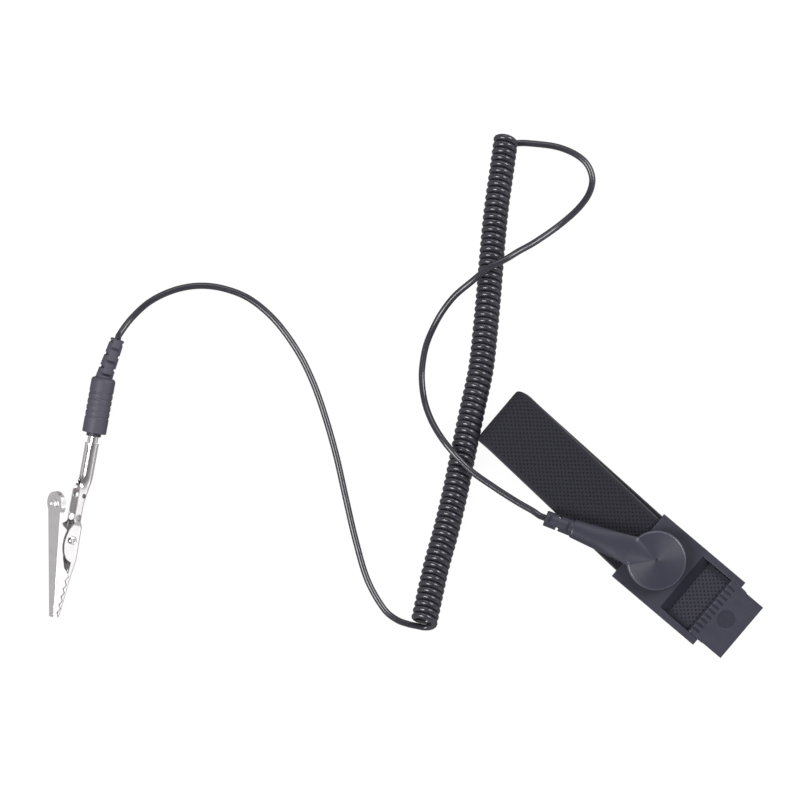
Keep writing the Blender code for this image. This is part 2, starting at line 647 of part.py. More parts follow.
def make_cap(axis, material):
    """Round housing, arm and strain relief in one moulding, hollow below and bored along the arm."""
    disc = turned(
        "snap_cap",
        (
            (0, CAP_BASE), (CAP_RADIUS - CAP_EDGE / 2, CAP_BASE), (CAP_RADIUS, CAP_BASE + CAP_EDGE),
            (CAP_RADIUS, CAP_RIM - CAP_EDGE), (CAP_RADIUS - CAP_EDGE, CAP_RIM), (0, CAP_APEX),
        ),
        CAP_SIDES,
        upright,
    )
    root, end = ARM_ROOT_WIDTH / 2, ARM_END_WIDTH / 2
    start = CAP_RADIUS / 2
    middle, half = (CAP_BASE + CAP_RIM) / 2, (CAP_RIM - CAP_BASE) / 2
    outline = (
        (start, -root), (CAP_RADIUS, -root), (ARM_REACH, -end),
        (ARM_REACH, end), (CAP_RADIUS, root), (start, root),
    )
    arm = prism("arm", outline, lambda _: half, lambda a, b, across: (a, b, middle + across))

    def is_long(edge):
        first, second = edge.verts[0].co, edge.verts[1].co
        return abs(first.z - second.z) < half and abs(first.x - second.x) > half

    rounded(arm, ARM_EDGE, 2, is_long)
    relief = slotted_relief(ARM_REACH, RELIEF_END, end, end - RELIEF_TAPER, ARM_RELIEF_SLOTS, half / end)
    moved(relief, (0, 0, CORD_HEIGHT))
    cap = join(disc, arm, relief)
    cavity = rod("cavity", CAVITY_RADIUS, CAP_BASE - CUT_PAST, CAVITY_TOP, ROUND, upright)
    bore_start, bore_end = CAVITY_RADIUS / 2, ARM_REACH - ARM_EDGE
    bore = moved(rod("bore", ARM_BORE, bore_start, bore_end, SMALL_ROUND, lengthwise), (0, 0, CORD_HEIGHT))
    hole = rod("hole", CORD_BORE, bore_end - CUT_PAST, RELIEF_END + CUT_PAST, SMALL_ROUND, lengthwise)
    return place(cut(cap, cavity, bore, moved(hole, (0, 0, CORD_HEIGHT))), material, axis)


def coil_points():
    """Left-handed curls round the coil's axis. Both ends leave the underside of the last curl and run straight."""
    axis = smooth_curve(np.array(COIL_AXIS) * MM)
    axis = resampled(axis, lengths_along(axis)[-1] / (CURLS * POINTS_PER_CURL))
    ahead = np.gradient(axis, axis=0)
    ahead /= np.linalg.norm(ahead, axis=1)[:, None]
    side = np.stack([-ahead[:, 1], ahead[:, 0]], axis=1)
    wind = COIL_RADIUS - CORD_RADIUS
    angle = -math.pi / 2 - 2 * math.pi * np.arange(len(axis)) / POINTS_PER_CURL
    flat = axis + wind * np.cos(angle)[:, None] * side
    curls = np.column_stack([flat, COIL_RADIUS + wind * np.sin(angle)])
    run = 2 * CORD_RADIUS
    first = curls[0] + np.array([*side[0], 0]) * run
    last = curls[-1] - np.array([*side[-1], 0]) * run
    return np.vstack([first, curls, last]), np.array([*side[0], 0]), np.array([*side[-1], 0])


def least_gap(points):
    """Smallest space between one curl and the next, measured on the points of the curls."""
    reach = POINTS_PER_CURL // 2
    nearest = min(
        np.linalg.norm(points[i + reach :] - points[i], axis=1).min() for i in range(len(points) - reach)
    )
    return nearest - 2 * CORD_RADIUS


def relief_point(plug, distance):
    """A point on the axis of the plug's strain relief, measured from the rear of the handle."""
    local = Vector((
        HANDLE_REAR - distance * math.cos(PLUG_RELIEF_TILT), distance * math.sin(PLUG_RELIEF_TILT), 0,
    ))
    return np.array(plug.matrix_world @ local)


def make_cord(plug, material):
    """The curls and the two straight tails."""
    coil, first_side, last_side = coil_points()
    place(tube("cord_coil", coil, CORD_RADIUS, 1), material)
    print(f"least gap between curls: {least_gap(coil) / MM:.2f} mm")
    arm = np.array([math.cos(ARM_ANGLE), math.sin(ARM_ANGLE), 0])
    height = np.array([0, 0, CORD_HEIGHT])
    reaches = (CORD_START, CORD_START + CORD_GRIP / 2, RELIEF_END, RELIEF_END + 2 * CORD_RADIUS)
    start = [arm * reach + height for reach in reaches]
    end = [coil[0] + first_side * reach for reach in (6 * CORD_RADIUS, 3 * CORD_RADIUS, SEAT_GAP)]
    route = [*start, *(np.array(BAND_TAIL_ROUTE) * MM), *end]
    place(tube("cord_tail_band", resampled(smooth_curve(route), TAIL_STEP), CORD_RADIUS, 2), material)
    start = [coil[-1] - last_side * reach for reach in (SEAT_GAP, 3 * CORD_RADIUS)]
    length = PLUG_RELIEF_LENGTH
    end = [relief_point(plug, reach) for reach in (length + 2 * CORD_RADIUS, length, length / 2, 2 * CORD_RADIUS)]
    for x in ((HANDLE_REAR + PIN_REAR) / 2, PIN_REAR - SEAT_GAP):
        end.append(np.array(plug.matrix_world @ Vector((x, 0, 0))))
    route = [*start, *(np.array(CLIP_TAIL_ROUTE) * MM), *end]
    place(tube("cord_tail_clip", resampled(smooth_curve(route), TAIL_STEP), CORD_RADIUS, 2), material)


def make_plug(plug, grip_finish, collar_finish, nickel):
    """Moulded grip with its strain relief, collar, pin and the spring cage on the pin."""
    rear, front = HANDLE_REAR, HANDLE_FRONT
    outline = [(0, rear), (PLUG_RELIEF_ROOT, rear), (HANDLE_RADIUS, rear + HANDLE_SHOULDER)]
    for i in range(GRIP_GROOVES):
        x = rear + GRIP_START + i * GRIP_PITCH
        low = HANDLE_RADIUS - GRIP_GROOVE_DEPTH
        quarter = GRIP_GROOVE_WIDTH / 4
        outline += [
            (HANDLE_RADIUS, x), (low, x + quarter), (low, x + 3 * quarter), (HANDLE_RADIUS, x + 4 * quarter),
        ]
    edge = GRIP_GROOVE_DEPTH
    outline += [
        (HANDLE_RADIUS, front - edge), (HANDLE_RADIUS - edge, front), (RECESS_RADIUS, front),
        (RECESS_RADIUS, RECESS_FLOOR), (0, RECESS_FLOOR),
    ]
    handle = turned("plug_handle", outline, ROUND, lengthwise)
    relief = slotted_relief(0, PLUG_RELIEF_LENGTH, PLUG_RELIEF_ROOT, PLUG_RELIEF_END, PLUG_RELIEF_SLOTS)
    back = Matrix.Rotation(math.pi - PLUG_RELIEF_TILT, 3, "Z")
    join(handle, moved(relief, (rear, 0, 0), back @ Matrix.Rotation(PLUG_RELIEF_ROLL, 3, "X")))
    shank_hole = rod("hole", SHANK_BORE, PIN_REAR - SEAT_GAP, front, SMALL_ROUND, lengthwise)
    cord_hole = rod("hole", CORD_BORE, rear - CORD_RADIUS, PIN_REAR, SMALL_ROUND, lengthwise)
    reach = PLUG_RELIEF_LENGTH + CUT_PAST
    relief_hole = moved(rod("hole", CORD_BORE, -CORD_RADIUS, reach, SMALL_ROUND, lengthwise), (rear, 0, 0), back)
    place(cut(handle, shank_hole, cord_hole, relief_hole), grip_finish, plug)
    inner, outer = PIN_RADIUS + SEAT_GAP, PIN_RADIUS + SEAT_GAP + COLLAR_WALL
    start = RECESS_FLOOR + SEAT_GAP
    collar = ((inner, start), (outer, start), (outer, start + COLLAR_LENGTH), (inner, start + COLLAR_LENGTH))
    place(turned("plug_collar", collar, ROUND, lengthwise), collar_finish, plug)
    tip = CAGE_END + SEAT_GAP
    pin = (
        (0, PIN_REAR), (PIN_SHANK_RADIUS, PIN_REAR), (PIN_SHANK_RADIUS, start), (PIN_RADIUS, start),
        (PIN_RADIUS, -SEAT_GAP), (PIN_CORE_RADIUS, -SEAT_GAP), (PIN_CORE_RADIUS, tip), (PIN_TIP_RADIUS, tip),
        (PIN_TIP_RADIUS, tip + PIN_TIP_LENGTH / 2), (PIN_CORE_RADIUS, tip + PIN_TIP_LENGTH),
        (0, tip + PIN_TIP_LENGTH),
    )
    place(turned("plug_pin", pin, ROUND, lengthwise), nickel, plug)
    outer = CAGE_INNER + CAGE_THICK
    cage = (
        (CAGE_INNER, CAGE_START), (outer, CAGE_START), (outer, CAGE_END), (CAGE_INNER, CAGE_END),
    )
    cage = turned("plug_spring", cage, SMALL_ROUND, lengthwise)
    start, end = CAGE_START + CAGE_LENGTH / 6, CAGE_END - CAGE_LENGTH / 6
    reach, slot = BARREL_RADIUS, CAGE_SLOT / 2
    upright_slot = box("slot", (start, -slot, -reach), (end, slot, reach))
    level_slot = box("slot", (start, -reach, -slot), (end, reach, slot))
    place(cut(cage, upright_slot, level_slot), nickel, plug)


def in_clip(s, h, w):
    """A point of the clip in its own frame."""
    return (s, -h, w)


def bite_line(s):
    """Height of the line where the closed jaws meet."""
    (s0, h0), (s1, h1) = BITE_START, BITE_END
    return h0 + (h1 - h0) * (s - s0) / (s1 - s0)


def zigzag(offset):
    """The toothed edge of a jaw, from the bite's start to its end."""
    count = 2 * JAW_TEETH
    points = []
    for i in range(count + 1):
        s = BITE_START[0] + (BITE_END[0] - BITE_START[0]) * i / count
        points.append((s, bite_line(s) + offset + TOOTH_HEIGHT * (i % 2 - 0.5)))
    return points


def jaw_half_width(s):
    """Half the fixed half's width, outside, at s."""
    share = (s - JAW_START) / (NOSE - JAW_START)
    return (EAR_WIDTH + (NOSE_WIDTH - EAR_WIDTH) * share) / 2


def make_clip_body(clip, material):
    """Fixed half: barrel, pinched neck, wire channel with holes, ears and toothed jaw."""
    bore = BARREL_BORE
    barrel = turned(
        "clip_body",
        (
            (bore, 0), (BARREL_RADIUS, 0), (BARREL_RADIUS, BARREL_LENGTH), (NECK_RADIUS, NECK_END),
            (NECK_RADIUS - CLIP_SHEET, NECK_END), (bore, BARREL_LENGTH),
        ),
        SMALL_ROUND,
        lengthwise,
    )
    top, floor = CHANNEL_TOP, CHANNEL_FLOOR
    neck_floor, neck_top = -NECK_RADIUS * 0.75, NECK_RADIUS * 0.9
    sloped = CHANNEL_START + CHANNEL_SLOPE
    outline = (
        (CHANNEL_START, neck_floor), (sloped, floor), (CHANNEL_END, floor),
        (CHANNEL_END, top), (CHANNEL_START + CHANNEL_LEAD, top - CLIP_SHEET), (CHANNEL_START, neck_top),
    )
    channel = prism("channel", outline, lambda _: CHANNEL_WIDTH / 2, in_clip)
    hollow = (
        (CHANNEL_START - CUT_PAST, neck_floor + CLIP_SHEET), (sloped, floor + CLIP_SHEET),
        (CHANNEL_END + CUT_PAST, floor + CLIP_SHEET), (CHANNEL_END + CUT_PAST, top + CUT_PAST),
        (CHANNEL_START - CUT_PAST, top + CUT_PAST),
    )
    cut(channel, prism("hollow", hollow, lambda _: CHANNEL_WIDTH / 2 - CLIP_SHEET, in_clip))
    holes = (
        (CHANNEL_START + SMALL_HOLE_FROM_START, SMALL_HOLE_H, SMALL_HOLE_RADIUS),
        (CHANNEL_END - LARGE_HOLE_FROM_END, LARGE_HOLE_H, LARGE_HOLE_RADIUS),
    )
    for s, h, radius in holes:
        across = CHANNEL_WIDTH
        hole = rod("hole", radius, -across, across, SMALL_ROUND, upright)
        cut(channel, moved(hole, in_clip(s, h, 0)))
    ear_base = bite_line(EAR_CENTRE_S + EAR_REACH)
    ear = []
    for turn in np.linspace(0, math.pi, 13)[1:-1]:
        ear.append((EAR_CENTRE_S + EAR_REACH * math.cos(turn), ear_base + EAR_RISE * math.sin(turn)))
    web = JAW_FLOOR
    teeth = zigzag(-BITE_GAP / 2)
    outline = [*web, (NOSE, teeth[-1][1]), *reversed(teeth), (EAR_CENTRE_S + EAR_REACH, ear_base), *ear]
    jaw = prism("jaw", [*outline, (JAW_START, ear_base)], jaw_half_width, in_clip)
    above = [(s, h + CLIP_SHEET) for s, h in web[:-1]]
    hollow = [
        (JAW_START - CUT_PAST, above[0][1]), *above, (NOSE - CLIP_SHEET, web[-1][1] + CLIP_SHEET),
        (NOSE - CLIP_SHEET, 2 * PAD_RADIUS), (JAW_START - CUT_PAST, 2 * PAD_RADIUS),
    ]
    cut(jaw, prism("hollow", hollow, lambda s: jaw_half_width(s) - CLIP_SHEET, in_clip))
    across = EAR_WIDTH
    cut(jaw, moved(rod("hole", PIVOT_HOLE, -across, across, SMALL_ROUND, upright), in_clip(PIVOT_S, PIVOT_H, 0)))
    return place(join(barrel, channel, jaw), material, clip)


def in_thumb(p, q, w):
    """A point of the thumb half in its own frame: p along its back, q from the pivot to its back, w across."""
    return (p, -q, w)


def thumb_half_width(p):
    nose = (NOSE - PIVOT_S) / math.cos(THUMB_SLOPE)
    share = (p + THUMB_START) / (nose + THUMB_START)
    return (THUMB_WIDTH + (NOSE_WIDTH - THUMB_WIDTH) * share) / 2


def make_clip_jaw(clip, material, eyelet_finish):
    """Thumb half: round pad with a turned-down lip, back, toothed jaw and two ears on the pivot."""
    slope = Matrix.Rotation(THUMB_SLOPE, 2)
    pivot = Vector((PIVOT_S, PIVOT_H))
    teeth = [tuple(slope @ (Vector(point) - pivot)) for point in zigzag(BITE_GAP / 2)]
    nose = teeth[-1][0]
    lip = THUMB_BACK - THUMB_LIP
    start = teeth[0][0] - TOOTH_HEIGHT
    outline = [
        (-THUMB_START, THUMB_BACK), (nose, THUMB_BACK), *reversed(teeth), (start, teeth[0][1]),
        (start - THUMB_JAW_SLOPE, (lip + teeth[0][1]) / 2), (0, lip), (-THUMB_START, lip),
    ]
    back = prism("clip_jaw", outline, thumb_half_width, in_thumb)
    pad = moved(rod("pad", PAD_RADIUS, -THUMB_BACK, PAD_LIP - THUMB_BACK, ROUND, crosswise), (-PAD_CENTRE, 0, 0))
    join(back, pad)
    under = THUMB_BACK - CLIP_SHEET
    front = nose - CLIP_SHEET
    hollow = ((-PAD_CENTRE, under), (front, under), (front, -THUMB_BACK), (-PAD_CENTRE, -THUMB_BACK))
    inside = prism("hollow", hollow, lambda p: thumb_half_width(p) - CLIP_SHEET, in_thumb)
    pad_inside = rod("hollow", PAD_RADIUS - CLIP_SHEET, -under, THUMB_BACK, ROUND, crosswise)
    cut(back, inside, moved(pad_inside, (-PAD_CENTRE, 0, 0)))
    top = under + CLIP_SHEET / 2
    round_end = PIVOT_HOLE + 2 * CLIP_SHEET
    ear = [(-1.2 * round_end, top), (1.6 * round_end, top)]
    for turn in np.linspace(math.radians(15), math.radians(-195), 11):
        ear.append((round_end * math.cos(turn), round_end * math.sin(turn)))
    thick = CLIP_SHEET / 2
    middle = jaw_half_width(PIVOT_S + round_end) - CLIP_SHEET - SEAT_GAP - thick
    for side in (-1, 1):
        plate = prism("ear", ear, lambda _: thick, in_thumb)
        join(back, moved(plate, (0, 0, side * middle)))
    across = EAR_WIDTH
    cut(back, rod("hole", PIVOT_HOLE, -across, across, SMALL_ROUND, upright))
    eyelet_hole = rod("hole", EYELET_HOLE, -THUMB_BACK - CUT_PAST, -under + CUT_PAST, SMALL_ROUND, crosswise)
    cut(back, moved(eyelet_hole, (-PAD_CENTRE, 0, 0)))
    at = in_clip(PIVOT_S, PIVOT_H, 0)
    turn = (0, 0, THUMB_SLOPE)
    place(back, material, clip, at, turn)
    low, seat = -under, -THUMB_BACK - SEAT_GAP
    wall = EYELET_BORE + EYELET_WALL
    eyelet = (
        (EYELET_BORE, low), (wall, low), (wall, seat), (EYELET_RADIUS, seat),
        (EYELET_RADIUS - EYELET_FLANGE / 2, seat - EYELET_FLANGE), (EYELET_BORE, seat - EYELET_FLANGE),
    )
    eyelet = moved(turned("thumb_eyelet", eyelet, SMALL_ROUND, crosswise), (-PAD_CENTRE, 0, 0))
    place(eyelet, eyelet_finish, clip, at, turn)


def make_clip_pivot(clip, material):
    """Rivet with a head outside each ear."""
    head = jaw_half_width(PIVOT_S - PIVOT_HEAD_RADIUS) + SEAT_GAP / 2
    end = head + PIVOT_HEAD_THICK
    crown = PIVOT_HEAD_RADIUS * 0.7
    profile = (
        (0, -end), (crown, -end), (PIVOT_HEAD_RADIUS, -head), (PIVOT_RADIUS, -head),
        (PIVOT_RADIUS, head), (PIVOT_HEAD_RADIUS, head), (crown, end), (0, end),
    )
    place(turned("clip_pivot", profile, SMALL_ROUND, upright), material, clip, in_clip(PIVOT_S, PIVOT_H, 0))


def make_clip_spring(clip, material):
    """Torsion spring round the pivot, with one leg on the fixed half and one under the thumb half's back."""
    count = 12 * SPRING_TURNS + 6
    wound = []
    for i in range(count + 1):
        angle = 2 * math.pi * i / 12
        across = SPRING_PITCH * (i / 12 - count / 24)
        wound.append((SPRING_RADIUS * math.sin(angle), -SPRING_RADIUS * math.cos(angle), across))
    low = (-SPRING_LEG, wound[0][1], wound[0][2])
    high = (-SPRING_LEG, wound[-1][1], wound[-1][2])
    points = [in_clip(*point) for point in (low, *wound, high)]
    place(tube("clip_spring", points, SPRING_WIRE_RADIUS, 1), material, clip, in_clip(PIVOT_S, PIVOT_H, 0))


def main():
    clear_scene()
    elastic = finish("black elastic knit", (0.022, 0.022, 0.026), 0.85)
    moulding = finish("dark grey moulding", (0.045, 0.045, 0.055), 0.45)
    jacket = finish("black cord jacket", (0.03, 0.028, 0.036), 0.35)
    grip = finish("dark grey plug grip", (0.07, 0.07, 0.085), 0.5)
    nickel = finish("bright nickel", (0.75, 0.74, 0.72), 0.18, 1.0)
    steel = finish("spring steel", (0.55, 0.55, 0.55), 0.3, 1.0)
    copper = finish("tinned copper", (0.7, 0.6, 0.5), 0.35, 1.0)
    ceramic = finish("resistor coat", (0.55, 0.42, 0.25), 0.5)
    make_band(elastic)
    make_buckle_body(moulding)
    make_lever(moulding)
    half = BODY_WIDTH / 2 - SEAT_GAP / 2
    pin = rod("lever_pin", HUB_BORE - TURN_GAP, -half, half, SMALL_ROUND, crosswise)
    place(pin, steel, at=(PIN_X, 0, PIN_HEIGHT))
    make_contact_plate(steel)
    make_rivets(steel)
    make_stud(nickel)
    snap = empty("snap_axis", turn=(0, 0, ARM_ANGLE))
    make_snap_inside(snap, nickel, ceramic, copper)
    make_cap(snap, moulding)
    plug = empty("plug_axis", (*BARREL_MOUTH, PLUG_HEIGHT), (0, PLUG_TILT, PLUG_ANGLE))
    clip = empty("clip_frame", turn=(-CLIP_ROLL, 0, 0), parent=plug)
    bpy.context.view_layer.update()
    make_cord(plug, jacket)
    make_plug(plug, grip, moulding, nickel)
    make_clip_body(clip, nickel)
    make_clip_jaw(clip, nickel, nickel)
    make_clip_pivot(clip, nickel)
    make_clip_spring(clip, steel)


main()
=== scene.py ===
"""Looks of an earthing wrist strap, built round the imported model.

The file is laid out as an add-on, with one operator for each piece or group of like pieces, and one for
the stage. Sizes are in metres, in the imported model's own frame.
"""

import math

import bmesh
import bpy
import numpy as np
from bpy.props import FloatProperty, FloatVectorProperty, IntProperty, PointerProperty
from mathutils import Euler, Matrix, Vector


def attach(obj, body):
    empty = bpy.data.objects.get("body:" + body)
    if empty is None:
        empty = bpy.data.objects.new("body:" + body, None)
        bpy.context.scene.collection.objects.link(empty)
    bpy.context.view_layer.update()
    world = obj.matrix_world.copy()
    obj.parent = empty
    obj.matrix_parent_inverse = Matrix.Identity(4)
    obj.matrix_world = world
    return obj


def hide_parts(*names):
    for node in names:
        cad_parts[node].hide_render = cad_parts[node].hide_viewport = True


bl_info = {
    "name": "Earthing wrist strap",
    "version": (1, 0, 0),
    "blender": (4, 5, 0),
    "location": "3D View > Sidebar > Wrist strap",
    "description": "Builds the band, buckle, snap, curly cord, plug and clip of an earthing wrist strap",
    "category": "Object",
}

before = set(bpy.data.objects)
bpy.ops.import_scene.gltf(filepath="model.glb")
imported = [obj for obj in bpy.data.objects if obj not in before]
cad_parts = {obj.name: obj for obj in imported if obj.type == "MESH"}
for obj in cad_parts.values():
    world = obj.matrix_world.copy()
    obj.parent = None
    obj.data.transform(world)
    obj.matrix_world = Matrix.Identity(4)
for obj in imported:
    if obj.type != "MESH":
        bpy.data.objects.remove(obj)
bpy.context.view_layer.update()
MM = 0.001
SPECK_AREA = 1e-13

# Heights and plan of the buckle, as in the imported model
FIXED_MID = 0.0032
FLOOR_BOTTOM = 0.0042
FLOOR_TOP = 0.0052
STRAP_MID = 0.0062
DECK_BOTTOM = 0.0072
DECK_TOP = 0.0092
BODY_LEFT = -0.0076
DECK_RIGHT = 0.0111
BODY_RIGHT = 0.0276
BODY_HALF = 0.0135
INNER_HALF = 0.0116
WINDOW_HALF = 0.0111
PIN_X = 0.0242
PIN_PLACE = (PIN_X, 0, 0.0082)
HUB_RADIUS = 0.001
PIN_BORE = 0.00065
LEVER_HALF = 0.01098

# Snap housing
ARM_ANGLE = math.radians(199.3)
CAP_BASE = 0.0095
CAVITY_TOP = 0.0136
CAVITY_RADIUS = 0.0061
CAP_RIM = 0.014129
CORD_HEIGHT = 0.011814
ARM_REACH = 0.0298
RELIEF_END = 0.0393

# Plug and clip
PLUG_ANGLE = math.radians(-60.1)
PLUG_TILT = math.radians(2.4)
PLUG_ORIGIN = (-0.168, -0.09148, 0.0038998)
CLIP_ROLL = math.radians(42)
HANDLE_FRONT = -0.0035
HANDLE_REAR = -0.0223
SHANK_REAR = -0.0128
PLUG_RELIEF_TILT = math.radians(9.5)
PLUG_RELIEF_ROLL = math.radians(20)
PIVOT_S = 0.0327
PIVOT_H = 0.00315
THUMB_SLOPE = math.radians(10.8)

SNAP_FRAME = Matrix.Rotation(ARM_ANGLE, 4, "Z")
PLUG_FRAME = Matrix.Translation(PLUG_ORIGIN) @ Euler((0, PLUG_TILT, PLUG_ANGLE)).to_matrix().to_4x4()
CLIP_FRAME = PLUG_FRAME @ Matrix.Rotation(-CLIP_ROLL, 4, "X")
THUMB_FRAME = CLIP_FRAME @ Matrix.Translation((PIVOT_S, -PIVOT_H, 0)) @ Matrix.Rotation(THUMB_SLOPE, 4, "Z")

# The cord's route along its centre, in millimetres. A point without a height lies on the table
CAD_CORD_RADIUS = 0.93
BAND_TAIL_ROUTE = (
    (-41.6, -13.9, 11.7), (-48.2, -15.1, 11.2), (-57.3, -16.3, 10.5), (-66.2, -17.0, 10.0),
    (-75.0, -16.1, 9.8), (-81.5, -14.7, 8.2), (-87.5, -12.4, 5.3), (-92.9, -9.1, 2.8),
    (-97.9, -4.5, 1.3), (-101.4, 0.1), (-104.4, 5.6), (-106.3, 11.6, 1.2),
    (-107.4, 17.5, 2.6), (-107.6, 24.0, 5.6), (-106.5, 30.5, 8.6), (-105.0, 38.0, 9.9),
    (-102.6, 43.9, 9.7), (-100.9, 49.0, 8.0), (-98.9, 54.4, 5.2), (-96.7, 62.4, 2.0),
    (-95.4, 69.1, 1.0), (-95.0, 74.1), (-95.5, 78.9), (-97.6, 83.1),
    (-101.3, 85.6), (-105.3, 86.2), (-110.1, 85.3), (-115.3, 83.0),
)
COIL_AXIS = (
    (-128.4, 74.9), (-122.8, 66.1), (-115.6, 54.7), (-108.0, 43.7), (-100.2, 32.8), (-92.5, 21.8),
    (-85.1, 10.7), (-78.6, -1.4), (-72.1, -13.4), (-65.6, -25.3), (-59.4, -37.5), (-53.6, -49.9),
    (-45.1, -65.9),
)
COIL_LEAN = 0.42
POINTS_PER_CURL = 24
TAIL_STEP = 1.1 * MM
CLIP_TAIL_ROUTE = (
    (-52.8, -70.9), (-58.7, -70.8), (-69.0, -66.9), (-80.4, -59.4),
    (-91.3, -51.3), (-103.5, -42.1), (-114.8, -34.5), (-125.1, -28.5),
    (-135.5, -24.0), (-147.7, -21.0), (-158.7, -20.9), (-167.5, -23.7),
    (-174.6, -28.3), (-180.1, -34.8, 1.2), (-183.8, -42.9, 2.0), (-184.9, -51.1, 3.2),
)


# Meshes

def mesh_object(name, points, faces):
    mesh = bpy.data.meshes.new(name)
    mesh.from_pydata([tuple(point) for point in points], [], faces)
    bm = bmesh.new()
    bm.from_mesh(mesh)
    bmesh.ops.recalc_face_normals(bm, faces=bm.faces)
    bm.to_mesh(mesh)
    bm.free()
    obj = bpy.data.objects.new(name, mesh)
    bpy.context.scene.collection.objects.link(obj)
    return obj


def box(name, low, high):
    xs, ys, zs = zip(low, high)
    points = [(x, y, z) for z in zs for y in ys for x in xs]
    faces = [(0, 1, 3, 2), (4, 5, 7, 6), (0, 1, 5, 4), (2, 3, 7, 6), (0, 2, 6, 4), (1, 3, 7, 5)]
    return mesh_object(name, points, faces)


def loft(name, rings):
    """A closed skin over rings of equally many points."""
    count = len(rings[0])
    points = [point for ring in rings for point in ring]
    faces = [tuple(range(count)), tuple(range(len(points) - count, len(points)))]
    for start in range(0, len(points) - count, count):
        for i in range(count):
            j = (i + 1) % count
            faces.append((start + i, start + j, start + count + j, start + count + i))
    return mesh_object(name, points, faces)


def prism(name, outline, half_width, place_point):
    """An outline of (a, b) points, made solid from -half_width(a) to half_width(a) across."""
    return loft(name, [[place_point(a, b, side * half_width(a)) for a, b in outline] for side in (-1, 1)])


def turned(name, profile, sides, place_point):
    """A closed profile of (radius, along) points, turned round the axis. Radius 0 is a point on the axis."""
    points = []
    rows = []
    for radius, along in profile:
        if radius == 0:
            rows.append([len(points)] * sides)
            points.append(place_point(0, 0, along))
            continue
        rows.append(list(range(len(points), len(points) + sides)))
        for i in range(sides):
            angle = 2 * math.pi * i / sides
            points.append(place_point(radius * math.cos(angle), radius * math.sin(angle), along))
    faces = []
    for row, after in zip(rows, rows[1:] + rows[:1]):
        for i in range(sides):
            j = (i + 1) % sides
            corners = list(dict.fromkeys((row[i], row[j], after[j], after[i])))
            if len(corners) > 2:
                faces.append(corners)
    return mesh_object(name, points, faces)


def upright(across, side, along):
    return (across, side, along)


def lengthwise(across, side, along):
    return (along, across, side)


def crosswise(across, side, along):
    return (side, along, across)


def arc(centre, radius, first, last, count):
    """Points of a round corner between two angles, in degrees."""
    turns = [math.radians(turn) for turn in np.linspace(first, last, count)]
    return [(centre[0] + radius * math.cos(turn), centre[1] + radius * math.sin(turn)) for turn in turns]


def moved(obj, matrix):
    obj.data.transform(matrix)
    return obj


def shifted(obj, x, y, z):
    return moved(obj, Matrix.Translation((x, y, z)))


def rod(name, radius, start, end, sides, place_point, at=(0, 0, 0)):
    profile = ((0, start), (radius, start), (radius, end), (0, end))
    return shifted(turned(name, profile, sides, place_point), *at)


def painted(obj, finishes):
    for finish in finishes:
        obj.data.materials.append(finish)
    return obj


def applied(obj):
    """Makes a piece's modifiers part of its mesh."""
    graph = bpy.context.evaluated_depsgraph_get()
    result = bpy.data.meshes.new_from_object(obj.evaluated_get(graph))
    obj.modifiers.clear()
    obj.data = result
    return obj


def combine(obj, tools, operation):
    for tool in tools:
        modifier = obj.modifiers.new("join", "BOOLEAN")
        modifier.operation = operation
        modifier.object = tool
        applied(obj)
        bpy.data.objects.remove(tool, do_unlink=True)
    return obj


def cut(obj, *tools):
    return combine(obj, tools, "DIFFERENCE")


def join(obj, *tools):
    return combine(obj, tools, "UNION")


def cleaned(obj, reach=0.002 * MM, angle=None):
    """Takes slivers out of a piece, and edges between faces that lie flatter than an angle."""
    bm = bmesh.new()
    bm.from_mesh(obj.data)
    bmesh.ops.remove_doubles(bm, verts=bm.verts, dist=reach)
    bmesh.ops.dissolve_degenerate(bm, dist=reach, edges=bm.edges)
    if angle:
        bmesh.ops.dissolve_limit(bm, angle_limit=math.radians(angle), verts=bm.verts, edges=bm.edges)
    specks = [face for face in bm.faces if face.calc_area() < SPECK_AREA]
    loose = [face for face in specks if all(len(edge.link_faces) != 2 for edge in face.edges)]
    bmesh.ops.delete(bm, geom=loose, context="FACES")
    bm.to_mesh(obj.data)
    bm.free()
    return obj


def bevelled(obj, width, segments, angle=40):
    modifier = obj.modifiers.new("soften", "BEVEL")
    modifier.width = width
    modifier.segments = segments
    modifier.limit_method = "ANGLE"
    modifier.angle_limit = math.radians(angle)
    return modifier


def softened(obj, width, segments=3, angle=40):
    """Rounds a piece's sharp edges, in its second finish if it has one; on the buckle that finish is a
    lighter tone, a painted highlight.
    """
    cleaned(obj, angle=1.0)
    modifier = bevelled(obj, width, segments, angle)
    if len(obj.data.materials) > 1:
        modifier.material = 1
    return applied(obj)


def shaded(obj, angle=32):
    """Smooth shading that leaves large faces flat."""
    cleaned(obj)
    obj.data.shade_smooth()
    obj.data.set_sharp_from_angle(angle=math.radians(angle))
    modifier = obj.modifiers.new("weights", "WEIGHTED_NORMAL")
    modifier.keep_sharp = True
    modifier.weight = 80
    return applied(obj)


def between(first, last, share):
    return first + (last - first) * share


def eased(share):
    share = min(1.0, max(0.0, share))
    return share * share * (3 - 2 * share)


def smooth_curve(points, steps=24):
    """A dense curve through the points, with the tangent at each point along its neighbours."""
    points = np.array(points, float)
    ends = np.vstack([2 * points[0] - points[1], points, 2 * points[-1] - points[-2]])
    dense = []
    for before, start, end, after in zip(ends, ends[1:], ends[2:], ends[3:]):
        for t in np.arange(steps) / steps:
            dense.append(
                0.5 * (2 * start + (end - before) * t + (2 * before - 5 * start + 4 * end - after) * t**2
                       + (3 * start - before - 3 * end + after) * t**3)
            )
    return np.vstack([dense, points[-1]])


def lengths_along(points):
    return np.concatenate([[0], np.cumsum(np.linalg.norm(np.diff(points, axis=0), axis=1))])


def resampled(points, step):
    along = lengths_along(points)
    count = max(2, round(along[-1] / step) + 1)
    wanted = np.linspace(0, along[-1], count)
    return np.stack([np.interp(wanted, along, column) for column in points.T], axis=1)


# Finishes

